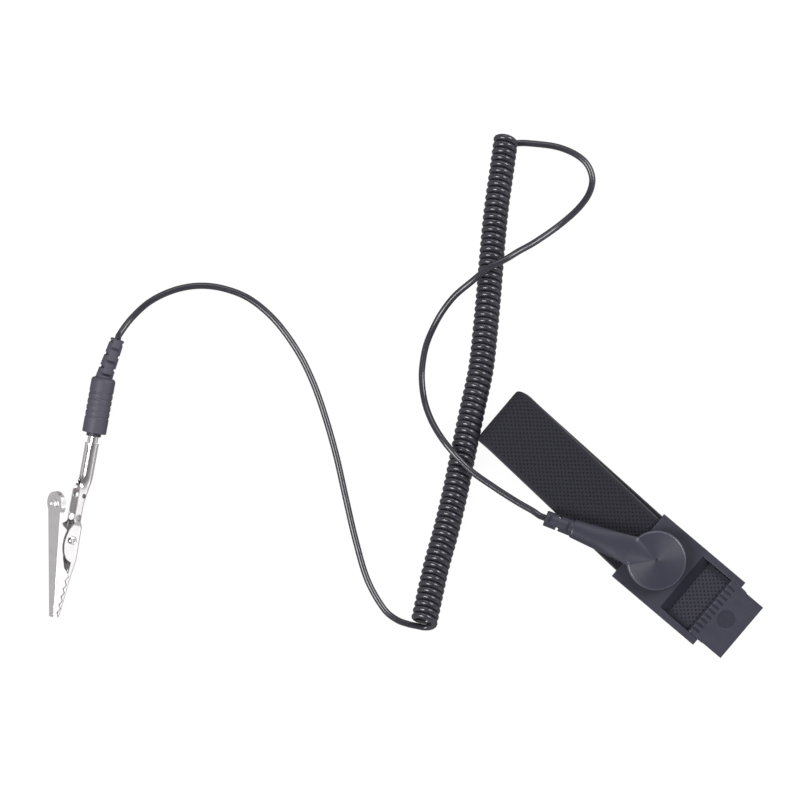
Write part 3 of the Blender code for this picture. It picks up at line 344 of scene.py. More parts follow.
class Nodes:
    """The nodes of a material or of the world."""

    def __init__(self, owner):
        owner.use_nodes = True
        self.tree = owner.node_tree

    def link(self, source, node, socket):
        """Joins a socket to another node's output, or gives it a value."""
        if hasattr(source, "is_output"):
            self.tree.links.new(source, node.inputs[socket])
        else:
            node.inputs[socket].default_value = source

    def node(self, kind, sources=None, **settings):
        made = self.tree.nodes.new("ShaderNode" + kind)
        for name, value in settings.items():
            setattr(made, name, value)
        for socket, source in (sources or {}).items():
            self.link(source, made, socket)
        return made

    def math(self, operation, first, second=0.0):
        return self.node("Math", {0: first, 1: second}, operation=operation).outputs[0]

    def ranged(self, value, low, high, from_low=0.0, from_high=1.0):
        sources = {"Value": value, "From Min": from_low, "From Max": from_high, "To Min": low, "To Max": high}
        return self.node("MapRange", sources).outputs[0]

    def blend(self, share, first, second, mode="MIX"):
        """A colour made of two colours."""
        return self.node("Mix", {0: share, 6: first, 7: second}, data_type="RGBA", blend_type=mode).outputs[2]


class Finish(Nodes):
    """A material of nodes round one Principled shader."""

    def __init__(self, name, roughness, metallic=0.0):
        self.material = bpy.data.materials.new(name)
        super().__init__(self.material)
        self.shader = self.tree.nodes["Principled BSDF"]
        self.roughness(roughness)
        self.link(metallic, self.shader, "Metallic")

    def noise(self, scale, detail=2.0, stretch=(1, 1, 1)):
        where = self.node("TexCoord").outputs["Object"]
        mapping = self.node("Mapping", {"Scale": stretch, "Vector": where})
        sources = {"Scale": scale, "Detail": detail, "Vector": mapping.outputs[0]}
        return self.node("TexNoise", sources).outputs["Fac"]

    def colour(self, source):
        self.link(source, self.shader, "Base Color")

    def roughness(self, source):
        self.link(source, self.shader, "Roughness")

    def shine(self, level):
        self.link(level, self.shader, "Specular IOR Level")

    def bump(self, height, distance, under=None):
        made = self.node("Bump", {"Distance": distance, "Height": height})
        if under is not None:
            self.link(under, made, "Normal")
        self.link(made.outputs[0], self.shader, "Normal")
        return made.outputs[0]


def tone(colour, share):
    """A colour made lighter or darker, with full alpha."""
    return (*[min(1.0, channel * share) for channel in colour[:3]], 1.0)


def mottled(name, colour, roughness, patches, darkest, lightest, metallic=0.0):
    """A finish whose colour drifts between a darker and a lighter tone."""
    finish = Finish(name, roughness, metallic)
    finish.colour(finish.blend(finish.noise(patches, 3), tone(colour, darkest), tone(colour, lightest)))
    return finish


def moulded_plastic(name, colour, roughness, grain=0.03 * MM, shine=0.5):
    """Moulded plastic: slightly cloudy colour, with a fine spark-eroded grain."""
    finish = mottled(name, colour, roughness, 140, 0.85, 1.15)
    finish.roughness(finish.ranged(finish.noise(260, 4), roughness - 0.08, roughness + 0.08))
    finish.bump(finish.noise(5200, 2), grain)
    finish.shine(shine)
    return finish.material


def cord_jacket(name, colour, roughness):
    """Smooth flexible jacket: glossy, with faint waviness and dull patches."""
    finish = mottled(name, colour, roughness, 90, 0.8, 1.25)
    finish.roughness(finish.ranged(finish.noise(180, 4), roughness - 0.05, roughness + 0.08))
    finish.bump(finish.noise(300, 2), 0.003 * MM)
    return finish.material


def bright_metal(name, colour, roughness, scratch=0.004 * MM):
    """Plated or plain metal: smudges in its gloss, faint drawing lines and small dents."""
    finish = mottled(name, colour, roughness, 300, 0.88, 1.06, 1.0)
    finish.roughness(finish.ranged(finish.noise(420, 5), roughness * 0.6, roughness * 1.5))
    dents = finish.bump(finish.noise(500, 2), scratch)
    finish.bump(finish.noise(2500, 2, (0.06, 1, 1)), scratch, dents)
    return finish.material


def lacquer(name, colour, roughness):
    """Lacquer of small parts."""
    finish = mottled(name, colour, roughness, 800, 0.8, 1.15)
    finish.bump(finish.noise(2000, 2), 0.01 * MM)
    return finish.material


def elastic_knit(name, settings):
    """Knitted elastic: staggered eyelets with painted shade between raised cords, a plain selvedge, a painted
    edge highlight, and painted light on the end in the buckle.
    """
    finish = Finish(name, 0.8)
    finish.shine(0.2)
    finish.link(0.05, finish.shader, "Sheen Weight")
    finish.link(0.4, finish.shader, "Sheen Roughness")
    where = finish.node("UVMap", uv_map="knit").outputs[0]
    along, across, _ = finish.node("SeparateXYZ", {0: where}).outputs
    wobble = finish.ranged(finish.noise(500, 2), -0.5, 0.5)
    row = finish.math("ADD", finish.math("MULTIPLY", along, 2 * math.pi / settings.row_pitch), wobble)
    column = finish.math("ADD", finish.math("MULTIPLY", across, 2 * math.pi / settings.column_pitch), wobble)
    lattice = finish.math("MULTIPLY", finish.math("COSINE", row), finish.math("COSINE", column))
    eyelet = finish.ranged(lattice, 0.0, 1.0, 0.1, 0.75)
    edge = finish.math("ABSOLUTE", across)
    half = settings.width / 2
    plain = finish.ranged(edge, 1.0, 0.0, half - settings.selvedge, half - 0.6 * settings.selvedge)
    eyelet = finish.math("MULTIPLY", eyelet, plain)
    rib = finish.math("SINE", finish.math("MULTIPLY", along, 4 * math.pi / settings.row_pitch))
    yarn = finish.noise(2600, 3)

    # Cords take a random tone; the eyelets are painted dark, as painted shade in the holes.
    def knitted(colour):
        cords = finish.blend(yarn, tone(colour, 0.75), tone(colour, 1.3))
        return finish.blend(eyelet, cords, tone(colour, 0.4))

    # Painted light: the band's end inside the buckle is painted lighter than the rest of the band.
    lightened = finish.ranged(along, 1.0, 0.0, settings.lightened_end, settings.lightened_end + 3.0 * MM)
    base = finish.blend(lightened, knitted(settings.colour), knitted(settings.lightened_colour))
    # Painted highlight: a lighter colour along both edges of the band.
    highlight = finish.ranged(edge, 0.0, 1.0, half - 0.45 * MM, half - 0.25 * MM)
    finish.colour(finish.blend(highlight, base, (*settings.edge_highlight_colour, 1.0)))
    finish.roughness(finish.ranged(yarn, 0.7, 0.95))
    height = finish.math("SUBTRACT", finish.math("MULTIPLY", rib, 0.15), eyelet)
    height = finish.math("ADD", height, finish.math("MULTIPLY", yarn, 0.5))
    finish.bump(height, settings.knit_depth)
    return finish.material


def settled(obj, material, body, slot, *nodes):
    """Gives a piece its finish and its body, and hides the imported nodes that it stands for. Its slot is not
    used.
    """
    if not obj.data.materials:
        obj.data.materials.append(material)
    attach(obj, body)
    if nodes:
        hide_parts(*nodes)
    return obj


def dressed(names, material, edge=0.06 * MM):
    """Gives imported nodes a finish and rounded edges."""
    for name in names:
        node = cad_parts[name]
        node.data.materials.clear()
        node.data.materials.append(material)
        bevelled(node, edge, 2)


# Settings

def number_setting(name, description, default, **limits):
    return FloatProperty(name=name, description=description, default=default, min=0.0, **limits)


def length_setting(name, description, default):
    return number_setting(name, description, default, unit="LENGTH", precision=5)


def share_setting(name, description, default):
    return number_setting(name, description, default, subtype="FACTOR", max=1.0)


def power_setting(name, description, default):
    return number_setting(name, description, default, unit="POWER")


def count_setting(name, description, default, least=1):
    return IntProperty(name=name, description=description, default=default, min=least)


def colour_setting(name, description, default):
    return FloatVectorProperty(
        name=name, description=description, default=default, subtype="COLOR", size=3, min=0.0, max=1.0,
    )


class StageSettings(bpy.types.PropertyGroup):
    floor_colour: colour_setting("Floor", "Colour of the floor", (0.045, 0.045, 0.045))
    floor_glow: share_setting("Floor glow", "White that the floor adds where the camera sees it", 0.96)
    floor_shine: share_setting("Floor shine", "White that the floor adds where a piece mirrors it", 0.55)
    camera_height: length_setting("Camera height", "Height of the camera over the floor", 2.0)
    view_width: length_setting("View width", "Width of the floor that the camera sees", 0.2667)
    left_lamp: power_setting("Left lamp", "Power of the left soft box", 16.0)
    right_lamp: power_setting("Right lamp", "Power of the right soft box", 14.0)
    back_lamp: power_setting("Back lamp", "Power of the soft box at the back", 4.6)


class BandSettings(bpy.types.PropertyGroup):
    width: length_setting("Width", "Width of the band", 0.0223)
    thickness: length_setting("Thickness", "Thickness of the band", 0.0014)
    reach: length_setting("Reach", "From the stud's axis to the outside of the left fold", 0.0714)
    loop_height: length_setting("Loop height", "Top of the upper layer at the left fold", 0.00945)
    row_pitch: length_setting("Row pitch", "Pitch of the eyelets along the band", 0.0019)
    column_pitch: length_setting("Column pitch", "Pitch of the eyelets across the band", 0.00165)
    knit_depth: length_setting("Knit depth", "Depth of the knit", 0.0002)
    selvedge: length_setting("Selvedge", "Width of the plain edge", 0.0018)
    # The lightened end is painted light, and the edge highlight is a painted highlight.
    lightened_end: length_setting("Lightened end", "Length of the worn end in the buckle", 0.0195)
    colour: colour_setting("Yarn", "Colour of the yarn", (0.0132, 0.0127, 0.0185))
    lightened_colour: colour_setting("Lightened yarn", "Colour of the worn end in the buckle", (0.0235, 0.0228, 0.0335))
    edge_highlight_colour: colour_setting("Edge thread", "Colour of the thread along the edge", (0.055, 0.055, 0.058))


class BuckleSettings(bpy.types.PropertyGroup):
    edge: length_setting("Edge", "Rounding of the edges", 0.00018)
    ramp: length_setting("Ramp", "Length of the slope from the deck into the window", 0.0031)
    teeth: count_setting("Teeth", "Fingers of the lever's comb", 11, 3)
    slot: length_setting("Slot", "Depth of the slots between the fingers", 0.00033)
    mark_radius: length_setting("Moulding mark", "Radius of the round mark on the tongue", 0.003)
    colour: colour_setting("Frame", "Colour of the frame", (0.0195, 0.019, 0.0315))
    tongue_colour: colour_setting("Lever", "Colour of the lever", (0.021, 0.0205, 0.0335))
    roughness: share_setting("Roughness", "Roughness of the plastic", 0.38)


class SnapSettings(bpy.types.PropertyGroup):
    radius: length_setting("Radius", "Radius of the round housing", 0.00993)
    crown: length_setting("Crown", "Rise of the housing's cone", 0.002)
    edge: length_setting("Edge", "Rounding of the housing's edge", 0.0009)
    root_width: length_setting("Root width", "Width of the arm at the housing", 0.0096)
    end_width: length_setting("End width", "Width of the arm at its end", 0.0063)
    relief_width: length_setting("Relief width", "Width of the strain relief", 0.0055)
    wedge: number_setting("Wedge", "Half angle of the arm's ridge", math.radians(30), subtype="ANGLE")
    colour: colour_setting("Housing", "Colour of the housing", (0.025, 0.0245, 0.037))
    roughness: share_setting("Roughness", "Roughness of the plastic", 0.36)


class CordSettings(bpy.types.PropertyGroup):
    diameter: length_setting("Diameter", "Diameter of the cord", 0.00215)
    coil_radius: length_setting("Coil radius", "Outside radius of the first curls, by the snap", 0.00417)
    coil_end_radius: length_setting("Coil end radius", "Outside radius of the last curls", 0.00455)
    curls: count_setting("Curls", "Number of curls", 75)
    colour: colour_setting("Jacket", "Colour of the jacket", (0.019, 0.018, 0.025))
    roughness: share_setting("Roughness", "Roughness of the jacket", 0.22)


class PlugSettings(bpy.types.PropertyGroup):
    radius: length_setting("Radius", "Radius of the grip", 0.00405)
    grooves: count_setting("Grooves", "Grip grooves", 5, 0)
    groove_pitch: length_setting("Groove pitch", "Pitch of the grip grooves", 0.002)
    groove_depth: length_setting("Groove depth", "Depth of the grip grooves", 0.0002)
    relief_root: length_setting("Relief root", "Radius of the strain relief at the grip", 0.00285)
    relief_end: length_setting("Relief end", "Radius of the strain relief at the cord", 0.00235)
    relief_length: length_setting("Relief length", "Length of the strain relief", 0.0135)
    colour: colour_setting("Grip", "Colour of the grip", (0.051, 0.048, 0.064))
    roughness: share_setting("Roughness", "Roughness of the grip", 0.48)


class ClipSettings(bpy.types.PropertyGroup):
    sheet: length_setting("Sheet", "Thickness of the sheet metal", 0.00045)
    barrel_radius: length_setting("Barrel radius", "Outside radius of the barrel", 0.00225)
    seam: length_setting("Seam", "Width of the barrel's open seam", 0.00005)
    teeth: count_setting("Teeth", "Teeth of each jaw", 5)
    colour: colour_setting("Nickel", "Colour of the plating", (0.8, 0.78, 0.785))
    roughness: share_setting("Roughness", "Roughness of the plating", 0.16)


class WristStrapSettings(bpy.types.PropertyGroup):
    stage: PointerProperty(type=StageSettings, name="Stage", description="Floor, lamps and camera")
    band: PointerProperty(type=BandSettings, name="Band", description="Elastic band")
    buckle: PointerProperty(type=BuckleSettings, name="Buckle", description="Buckle frame and lever")
    snap: PointerProperty(type=SnapSettings, name="Snap", description="Snap housing")
    cord: PointerProperty(type=CordSettings, name="Cord", description="Curly cord")
    plug: PointerProperty(type=PlugSettings, name="Plug", description="Plug grip")
    clip: PointerProperty(type=ClipSettings, name="Clip", description="Spring clip")


# Stage

VIEW_CENTRE = (-0.09913, -0.0143, 0.0)
VIEW_TURN = math.radians(40.25)
FLOOR_HALF = 6.0
LAMP_HEIGHT = 0.85
SENSOR_WIDTH = 36.0
SKY_STRENGTH = 1.15
# Each stop is a place from 0 to 1 and a brightness
SKY_BY_HEIGHT = ((0.0, 1.75), (0.3, 0.45), (1.0, 0.2))
SKY_BY_SIDE = ((0.0, 0.6), (0.5, 0.7), (1.0, 1.0))


def sky(right):
    """Studio walls: bright low down and on the right, dimmer on the left and overhead."""
    world = bpy.data.worlds.new("studio walls")
    bpy.context.scene.world = world
    nodes = Nodes(world)
    facing = nodes.node("TexCoord").outputs["Generated"]
    height = nodes.node("SeparateXYZ", {0: facing}).outputs[2]
    sideways = nodes.node("VectorMath", {0: facing, 1: right}, operation="DOT_PRODUCT").outputs["Value"]
    levels = []
    for source, stops in ((height, SKY_BY_HEIGHT), (nodes.ranged(sideways, 0.0, 1.0, -1.0), SKY_BY_SIDE)):
        ramp = nodes.node("ValToRGB", {0: source})
        ramp.color_ramp.elements.new(0.5)
        for stop, (place, level) in zip(ramp.color_ramp.elements, stops):
            stop.position = place
            stop.color = (level, level, level, 1)
        levels.append(ramp.outputs[0])
    background = nodes.tree.nodes["Background"]
    nodes.link(nodes.blend(1.0, *levels, "MULTIPLY"), background, "Color")
    nodes.link(SKY_STRENGTH, background, "Strength")


def floor_finish(settings):
    """Floor that keeps shadows, and that looks white to the camera and pale in glossy pieces."""
    finish = Finish("pale floor", 0.9)
    finish.colour((*settings.floor_colour, 1))
    finish.shine(0.0)
    rays = finish.node("LightPath").outputs
    seen = finish.math("MAXIMUM", rays["Is Camera Ray"], rays["Is Transmission Ray"])
    slant = finish.node("LayerWeight").outputs["Facing"]
    far = finish.math("ADD", finish.math("MULTIPLY", slant, 0.6), 0.4)
    level = finish.math("MULTIPLY", far, settings.floor_shine)
    mirrored = finish.math("MULTIPLY", rays["Is Glossy Ray"], level)
    strength = finish.math("ADD", finish.math("MULTIPLY", seen, settings.floor_glow), mirrored)
    glow = finish.node("Emission", {"Strength": strength})
    both = finish.node("AddShader", {0: finish.shader.outputs[0], 1: glow.outputs[0]})
    finish.link(both.outputs[0], finish.tree.nodes["Material Output"], "Surface")
    return finish.material


def soft_box(name, power, size, at, target):
    lamp = bpy.data.lights.new(name, "AREA")
    lamp.shape = "RECTANGLE"
    lamp.size, lamp.size_y = size
    lamp.energy = power
    obj = bpy.data.objects.new(name, lamp)
    obj.location = at
    obj.rotation_euler = (Vector(target) - Vector(at)).to_track_quat("-Z", "Y").to_euler()
    bpy.context.scene.collection.objects.link(obj)


class WRISTSTRAP_OT_stage(bpy.types.Operator):
    """Makes the floor, the studio light and the camera"""

    bl_idname = "wriststrap.stage"
    bl_label = "Stage"

    def execute(self, context):
        settings = context.scene.wrist_strap.stage
        scene = context.scene
        scene.view_settings.view_transform = "Standard"
        centre = Vector(VIEW_CENTRE)
        right = Vector((math.cos(VIEW_TURN), math.sin(VIEW_TURN), 0))
        up = Vector((-math.sin(VIEW_TURN), math.cos(VIEW_TURN), 0))
        corners = ((-1, -1), (1, -1), (1, 1), (-1, 1))
        points = [(x * FLOOR_HALF, y * FLOOR_HALF, -0.02 * MM) for x, y in corners]
        floor = mesh_object("floor", points, [(0, 1, 2, 3)])
        floor.data.materials.append(floor_finish(settings))
        sky(right)
        for name, power, side, lean, size in (
            ("left soft box", settings.left_lamp, -0.66, -0.3, (0.55, 0.55)),
            ("right soft box", settings.right_lamp, 0.8, 0.4, (0.55, 0.55)),
            ("back soft box", settings.back_lamp, 0.0, 1.1, (0.8, 0.5)),
        ):
            at = centre + right * side + up * lean + Vector((0, 0, LAMP_HEIGHT))
            soft_box(name, power, size, at, centre)
        lens = bpy.data.cameras.new("camera")
        lens.sensor_width = SENSOR_WIDTH
        lens.lens = SENSOR_WIDTH * settings.camera_height / settings.view_width
        lens.clip_end = 100.0
        camera = bpy.data.objects.new("camera", lens)
        camera.location = centre + Vector((0, 0, settings.camera_height))
        camera.rotation_euler = (0, 0, VIEW_TURN)
        scene.collection.objects.link(camera)
        scene.camera = camera
        return {"FINISHED"}


# Cord

def coil_points(settings, per_curl):
    """Left-handed curls that lean back along the coil's axis, and the plan directions at each end."""
    axis = smooth_curve(np.array(COIL_AXIS) * MM)
    axis = resampled(axis, lengths_along(axis)[-1] / (settings.curls * per_curl))
    ahead = np.gradient(axis, axis=0)
    ahead /= np.linalg.norm(ahead, axis=1)[:, None]
    side = np.stack([-ahead[:, 1], ahead[:, 0]], axis=1)
    outside = np.linspace(settings.coil_radius, settings.coil_end_radius, len(axis))
    wind = outside - settings.diameter / 2
    angle = -math.pi / 2 - 2 * math.pi * np.arange(len(axis)) / per_curl
    flat = axis + (wind * np.cos(angle))[:, None] * side - (COIL_LEAN * wind * np.sin(angle))[:, None] * ahead
    curls = np.column_stack([flat, outside + wind * np.sin(angle)])
    return curls, [np.array([*row, 0]) for row in (side[0], ahead[0], side[-1])]


def lifted(route, radius):
    """A route in metres, raised so that a thicker cord still lies on the table."""
    points = np.array([(*point, CAD_CORD_RADIUS)[:3] for point in route])
    return points * MM + [0, 0, radius - CAD_CORD_RADIUS * MM]


def cord_line(settings):
    """The whole cord's centre line, from the arm's strain relief to the rear of the plug's pin."""
    curls, (first_side, first_ahead, last_side) = coil_points(settings, POINTS_PER_CURL)
    radius = settings.diameter / 2
    arm = np.array([math.cos(ARM_ANGLE), math.sin(ARM_ANGLE), 0])
    height = np.array([0, 0, CORD_HEIGHT])
    start = [arm * reach + height for reach in (0.036, 0.0377, RELIEF_END, RELIEF_END + 2 * radius)]
    end = []
    for reach, along in ((7.0, -0.85), (4.8, -0.55), (2.2, -0.1)):
        end.append(curls[0] + (first_side * reach + first_ahead * along) * MM)
    band_tail = smooth_curve([*start, *lifted(BAND_TAIL_ROUTE, radius), *end, curls[0]])
    start = [curls[-1] - last_side * reach * MM for reach in (0, 2.2, 4.8)]
    end = []
    # Through the plug's strain relief, from its tip to the grip
    for reach in (0.0152, 0.0135, 0.0068, 0.0017):
        local = (HANDLE_REAR - reach * math.cos(PLUG_RELIEF_TILT), reach * math.sin(PLUG_RELIEF_TILT), 0)
        end.append(np.array(PLUG_FRAME @ Vector(local)))
    end += [np.array(PLUG_FRAME @ Vector((x, 0, 0))) for x in (-0.0174, SHANK_REAR)]
    clip_tail = smooth_curve([*start, *lifted(CLIP_TAIL_ROUTE, radius), *end])
    return np.vstack([resampled(band_tail, TAIL_STEP)[:-1], curls, resampled(clip_tail, TAIL_STEP)[1:]])


def cord_bore(context):
    """Radius of the holes that the cord goes through."""
    return context.scene.wrist_strap.cord.diameter / 2 + 0.2 * MM


class WRISTSTRAP_OT_cord(bpy.types.Operator):
    """Makes the cord: two tails and the curls between them, in one line"""

    bl_idname = "wriststrap.cord"
    bl_label = "Cord"

    def execute(self, context):
        settings = context.scene.wrist_strap.cord
        points = cord_line(settings)
        curve = bpy.data.curves.new("curly_cord", "CURVE")
        curve.dimensions = "3D"
        curve.bevel_depth = settings.diameter / 2
        curve.bevel_resolution = 4
        curve.use_fill_caps = True
        spline = curve.splines.new("POLY")
        spline.points.add(len(points) - 1)
        for target, point in zip(spline.points, points):
            target.co = (*point, 1.0)
        spline.use_smooth = True
        cord = bpy.data.objects.new("curly_cord", curve)
        context.scene.collection.objects.link(cord)
        material = cord_jacket("black cord jacket", settings.colour, settings.roughness)
        settled(cord, material, "cord", "jacket", "cord_tail_band", "cord_coil", "cord_tail_clip")
        return {"FINISHED"}


# Band

def band_stations(settings):
    """Middle line of the band as (x, z, shift across, half width), from the strap's end to the fixed end."""
    half = settings.width / 2
    thick = settings.thickness
    lower = thick / 2
    upper = settings.loop_height - thick / 2
    left_radius = (upper - lower) / 2
    left_x = -settings.reach + left_radius + thick / 2
    right_radius = (FIXED_MID - lower) / 2
    strap_end, fold_end, fixed_end = BODY_RIGHT + 1.9 * MM, BODY_RIGHT + 3.3 * MM, -0.004
    right_x = fold_end - right_radius - thick / 2
    shift, right_shift, corner = 3.3 * MM, 0.4 * MM, 1.3 * MM
    stations = [(x, STRAP_MID, 0, half) for x in np.linspace(strap_end, BODY_LEFT, 40)[:-1]]
    for t in np.linspace(0, 1, 70):
        rise = (upper - STRAP_MID) * math.sin(t * math.pi / 2)
        stations.append((between(BODY_LEFT, left_x, t), STRAP_MID + rise, shift * t, half))
    for turn in np.linspace(0, math.pi, 25)[1:]:
        z = lower + left_radius * (1 + math.cos(turn))
        taken = corner * (1 - abs(math.cos(turn))) / 2
        stations.append((left_x - left_radius * math.sin(turn), z, shift - taken, half - taken))
    for t in np.linspace(0, 1, 90)[1:-1]:
        stations.append((between(left_x, right_x, t), lower, between(shift, right_shift, t), half))
    for turn in np.linspace(0, math.pi, 17):
        z = lower + right_radius * (1 - math.cos(turn))
        x = right_x + right_radius * math.sin(turn)
        stations.append((x, z, (1 - turn / math.pi) * right_shift, half))
    stations += [(x, FIXED_MID, 0, half) for x in np.linspace(right_x, fixed_end, 30)[1:]]
    return stations


def band_section(half, thick):
    """(across, up) points of the band's section, with round edges."""
    radius = thick / 2
    flat = list(np.linspace(-half + radius, half - radius, 48))
    right = arc((half - radius, 0), radius, 90, -90, 9)[1:-1]
    left = arc((-half + radius, 0), radius, 270, 90, 9)[1:-1]
    return [(y, radius) for y in flat] + right + [(y, -radius) for y in reversed(flat)] + left


class WRISTSTRAP_OT_band(bpy.types.Operator):
    """Makes the elastic band: one knitted strip, folded at both ends"""

    bl_idname = "wriststrap.band"
    bl_label = "Band"

    def execute(self, context):
        settings = context.scene.wrist_strap.band
        stations = band_stations(settings)
        path = np.array([(x, z) for x, z, _, _ in stations])
        along = lengths_along(path)
        ahead = np.gradient(path, axis=0)
        ahead /= np.linalg.norm(ahead, axis=1)[:, None]
        rings = []
        places = []
        for (x, z, middle, half), (run, rise), length in zip(stations, ahead, along):
            ring = band_section(half, settings.thickness)
            rings.append([(x + rise * up, middle + across, z - run * up) for across, up in ring])
            places += [(length, across * settings.width / (2 * half)) for across, _ in ring]
        band = loft("elastic_band", rings)
        layer = band.data.uv_layers.new(name="knit")
        for loop in band.data.loops:
            layer.data[loop.index].uv = places[loop.vertex_index]
        shaded(band, 50)
        settled(band, elastic_knit("black knitted elastic", settings), "wristband", "elastic", "band")
        return {"FINISHED"}


# Buckle

def in_side_view(a, b, across):
    return (a, across, b)


def buckle_frame(settings, finishes):
    """Floor, deck with a slope into the window, and two rails that overhang the channel."""
    body = box("buckle_frame", (BODY_LEFT, -BODY_HALF, FLOOR_BOTTOM), (BODY_RIGHT, BODY_HALF, DECK_TOP))
    painted(body, finishes)
    past = 1.0 * MM
    end, above = BODY_RIGHT + past, DECK_TOP + past
    channel = box("channel", (BODY_LEFT - past, -INNER_HALF, FLOOR_TOP), (end, INNER_HALF, DECK_BOTTOM))
    ramp_end = DECK_RIGHT + settings.ramp
    outline = (
        (DECK_RIGHT, above), (DECK_RIGHT, DECK_TOP), (ramp_end, DECK_BOTTOM + 0.45 * MM),
        (ramp_end, FLOOR_TOP), (end, FLOOR_TOP), (end, above),
    )
    window = prism("window", outline, lambda _: WINDOW_HALF, in_side_view)
    cut(body, channel, window)
    cut(body, rod("pin", PIN_BORE, -2 * BODY_HALF, 2 * BODY_HALF, 32, crosswise, PIN_PLACE))
    softened(body, settings.edge)
    # The slope into the window takes the third finish: painted shade.
    for face in body.data.polygons:
        sloped = 0.3 < face.normal.x < 0.95 and face.normal.z > 0.3
        if sloped and DECK_RIGHT < face.center.x < ramp_end and face.area > 2 * MM * MM:
            face.material_index = 2
    return body


def clamp_lever(settings, finishes):
    """Flip-up lever: a comb of fingers round the pin, and a flat tongue with a round moulding mark."""
    reach, thick, end = 2.75 * MM, 1.3 * MM, 13.2 * MM
    radius = HUB_RADIUS
    hub = arc((0, 0), radius, 90, 270, 17)
    outline = [*hub, (reach, -radius), (reach, radius - thick), (end, radius - thick), (end, radius)]
    lever = painted(prism("clamp_lever_tongue", outline, lambda _: LEVER_HALF, in_side_view), finishes)
    past = 1.0 * MM
    cut(lever, rod("bore", PIN_BORE, -LEVER_HALF - past, LEVER_HALF + past, 32, crosswise))
    pitch = 2 * LEVER_HALF / settings.teeth
    gap = 0.45 * pitch / 2
    for i in range(1, settings.teeth):
        y = i * pitch - LEVER_HALF
        low = (-radius - past, y - gap, radius - settings.slot)
        cut(lever, box("slot", low, (reach - 0.3 * MM, y + gap, radius + past)))
    softened(lever, 0.14 * MM, 2)
    centre = (30.4 * MM - PIN_X, 0.1 * MM)
    depth = 0.12 * MM
    mark = rod("mark", settings.mark_radius, radius - depth, radius + past, 64, upright, (*centre, 0))
    return cut(lever, mark), centre, radius - depth


class WRISTSTRAP_OT_buckle(bpy.types.Operator):
    """Makes the buckle's frame and its flip-up lever, and finishes the pin, plate and rivets"""

    bl_idname = "wriststrap.buckle"
    bl_label = "Buckle"

    def execute(self, context):
        settings = context.scene.wrist_strap.buckle
        rough = settings.roughness
        # Second finish, on the frame's and lever's rounded edges: a lighter tone, a painted highlight.
        edge = moulded_plastic("worn edge", tone(settings.tongue_colour, 1.7), rough)
        finishes = [
            moulded_plastic("dark moulded frame", settings.colour, rough), edge,
            # Third finish: painted shade on the slope into the window.
            moulded_plastic("painted shade on slope", tone(settings.colour, 0.6), rough, shine=0.15),
        ]
        settled(shaded(buckle_frame(settings, finishes)), None, "wristband", "moulding", "buckle_body")
        finishes = [
            moulded_plastic("dark moulded lever", settings.tongue_colour, rough), edge,
            # Third finish: the moulding mark's dull, darker surface, and painted shade on the slot floors
            # between the fingers.
            moulded_plastic("dull mark and painted slot shade", tone(settings.tongue_colour, 0.75), 0.55, 0.06 * MM, 0.2),
        ]
        lever, centre, floor = clamp_lever(settings, finishes)
        for face in lever.data.polygons:
            off = Vector(face.center[:2]) - Vector(centre)
            height, near = face.center.z, 0.01 * MM
            in_mark = off.length < settings.mark_radius and abs(height - floor) < near
            # Slot floors between the fingers are painted darker: painted shade.
            in_slot = abs(height - HUB_RADIUS + settings.slot) < near and face.normal.z > 0.9
            if in_mark or in_slot:
                face.material_index = 2
        settled(shaded(shifted(lever, *PIN_PLACE)), None, "lever", "moulding", "clamp_lever")
        steel = bright_metal("plain spring steel", (0.58, 0.58, 0.58), 0.3)
        dressed(("contact_plate", "plate_rivet_1", "plate_rivet_2"), steel)
        # The pin is coloured dark, so that its ends read dark between the lever and the rails.
        dressed(("lever_pin",), bright_metal("dark steel pin", (0.05, 0.05, 0.055), 0.4))
        return {"FINISHED"}


# Snap

def arm_ring(settings, distance):
    """Section of the arm at a distance from the snap's axis: a ridge on the cone, then a round-topped arm."""
    radius = settings.radius
    leaves = radius * math.cos(settings.wedge)
    spread = math.tan(settings.wedge)
    outside = (distance - radius) / (ARM_REACH - radius)
    straight = between(settings.root_width, settings.end_width, outside) / 2
    half = distance * spread
    if distance > leaves:
        half = between(leaves * spread, straight, eased((distance - leaves) / (2.5 * MM)))
    apex = CAP_RIM + settings.crown
    at_rim, at_end = CAP_RIM + 0.75 * MM, CAP_RIM + 0.1 * MM
    if distance < radius:
        ridge = between(apex - 0.03 * MM, at_rim, distance / radius)
    else:
        ridge = between(at_rim, at_end, outside)
    cone = CAP_RIM + settings.crown * (1 - min(distance, leaves) / math.cos(settings.wedge) / radius)
    edge = between(cone - 0.04 * MM, 12.2 * MM, eased((distance - leaves) / (14 * MM)))
    round_top = eased((distance - 6 * MM) / (8 * MM))
    ring = []
    for turn in np.linspace(-math.pi / 2, math.pi / 2, 25):
        rise = between(math.cos(turn) ** 2, math.cos(turn), round_top)
        ring.append((distance, half * math.sin(turn), edge + (ridge - edge) * rise))
    base = CAP_BASE + 0.25 * MM
    foot = min(0.6 * MM, 0.4 * half)
    ring += [(distance, half, base + foot), (distance, half - foot, base)]
    ring += [(distance, foot - half, base), (distance, -half, base + foot)]
    return ring


def slotted_relief(start, end, root, tip, slots, bore, height_share=1.0):
    """Strain relief along X: a tapered stub, slotted by turns from above and below and from both sides."""
    sink, slot, lip = 0.5 * MM, 0.9 * MM, 0.25 * MM
    profile = ((0, start - sink), (root, start - sink), (tip, end - lip), (tip - lip, end), (0, end))
    relief = turned("relief", profile, 40, lengthwise)
    moved(relief, Matrix.Diagonal((1, 1, height_share, 1)))
    core, reach = bore + 0.4 * MM, root + 1.0 * MM
    pitch = (end - start) / slots
    for i in range(slots):
        low = start + (i + 0.5) * pitch - slot / 2
        for near, far in ((core, reach), (-reach, -core)):
            if i % 2 == 0:
                cut(relief, box("slot", (low, -reach, near), (low + slot, reach, far)))
            else:
                cut(relief, box("slot", (low, near, -reach), (low + slot, far, reach)))
    return softened(relief, 0.1 * MM, 2, 50)


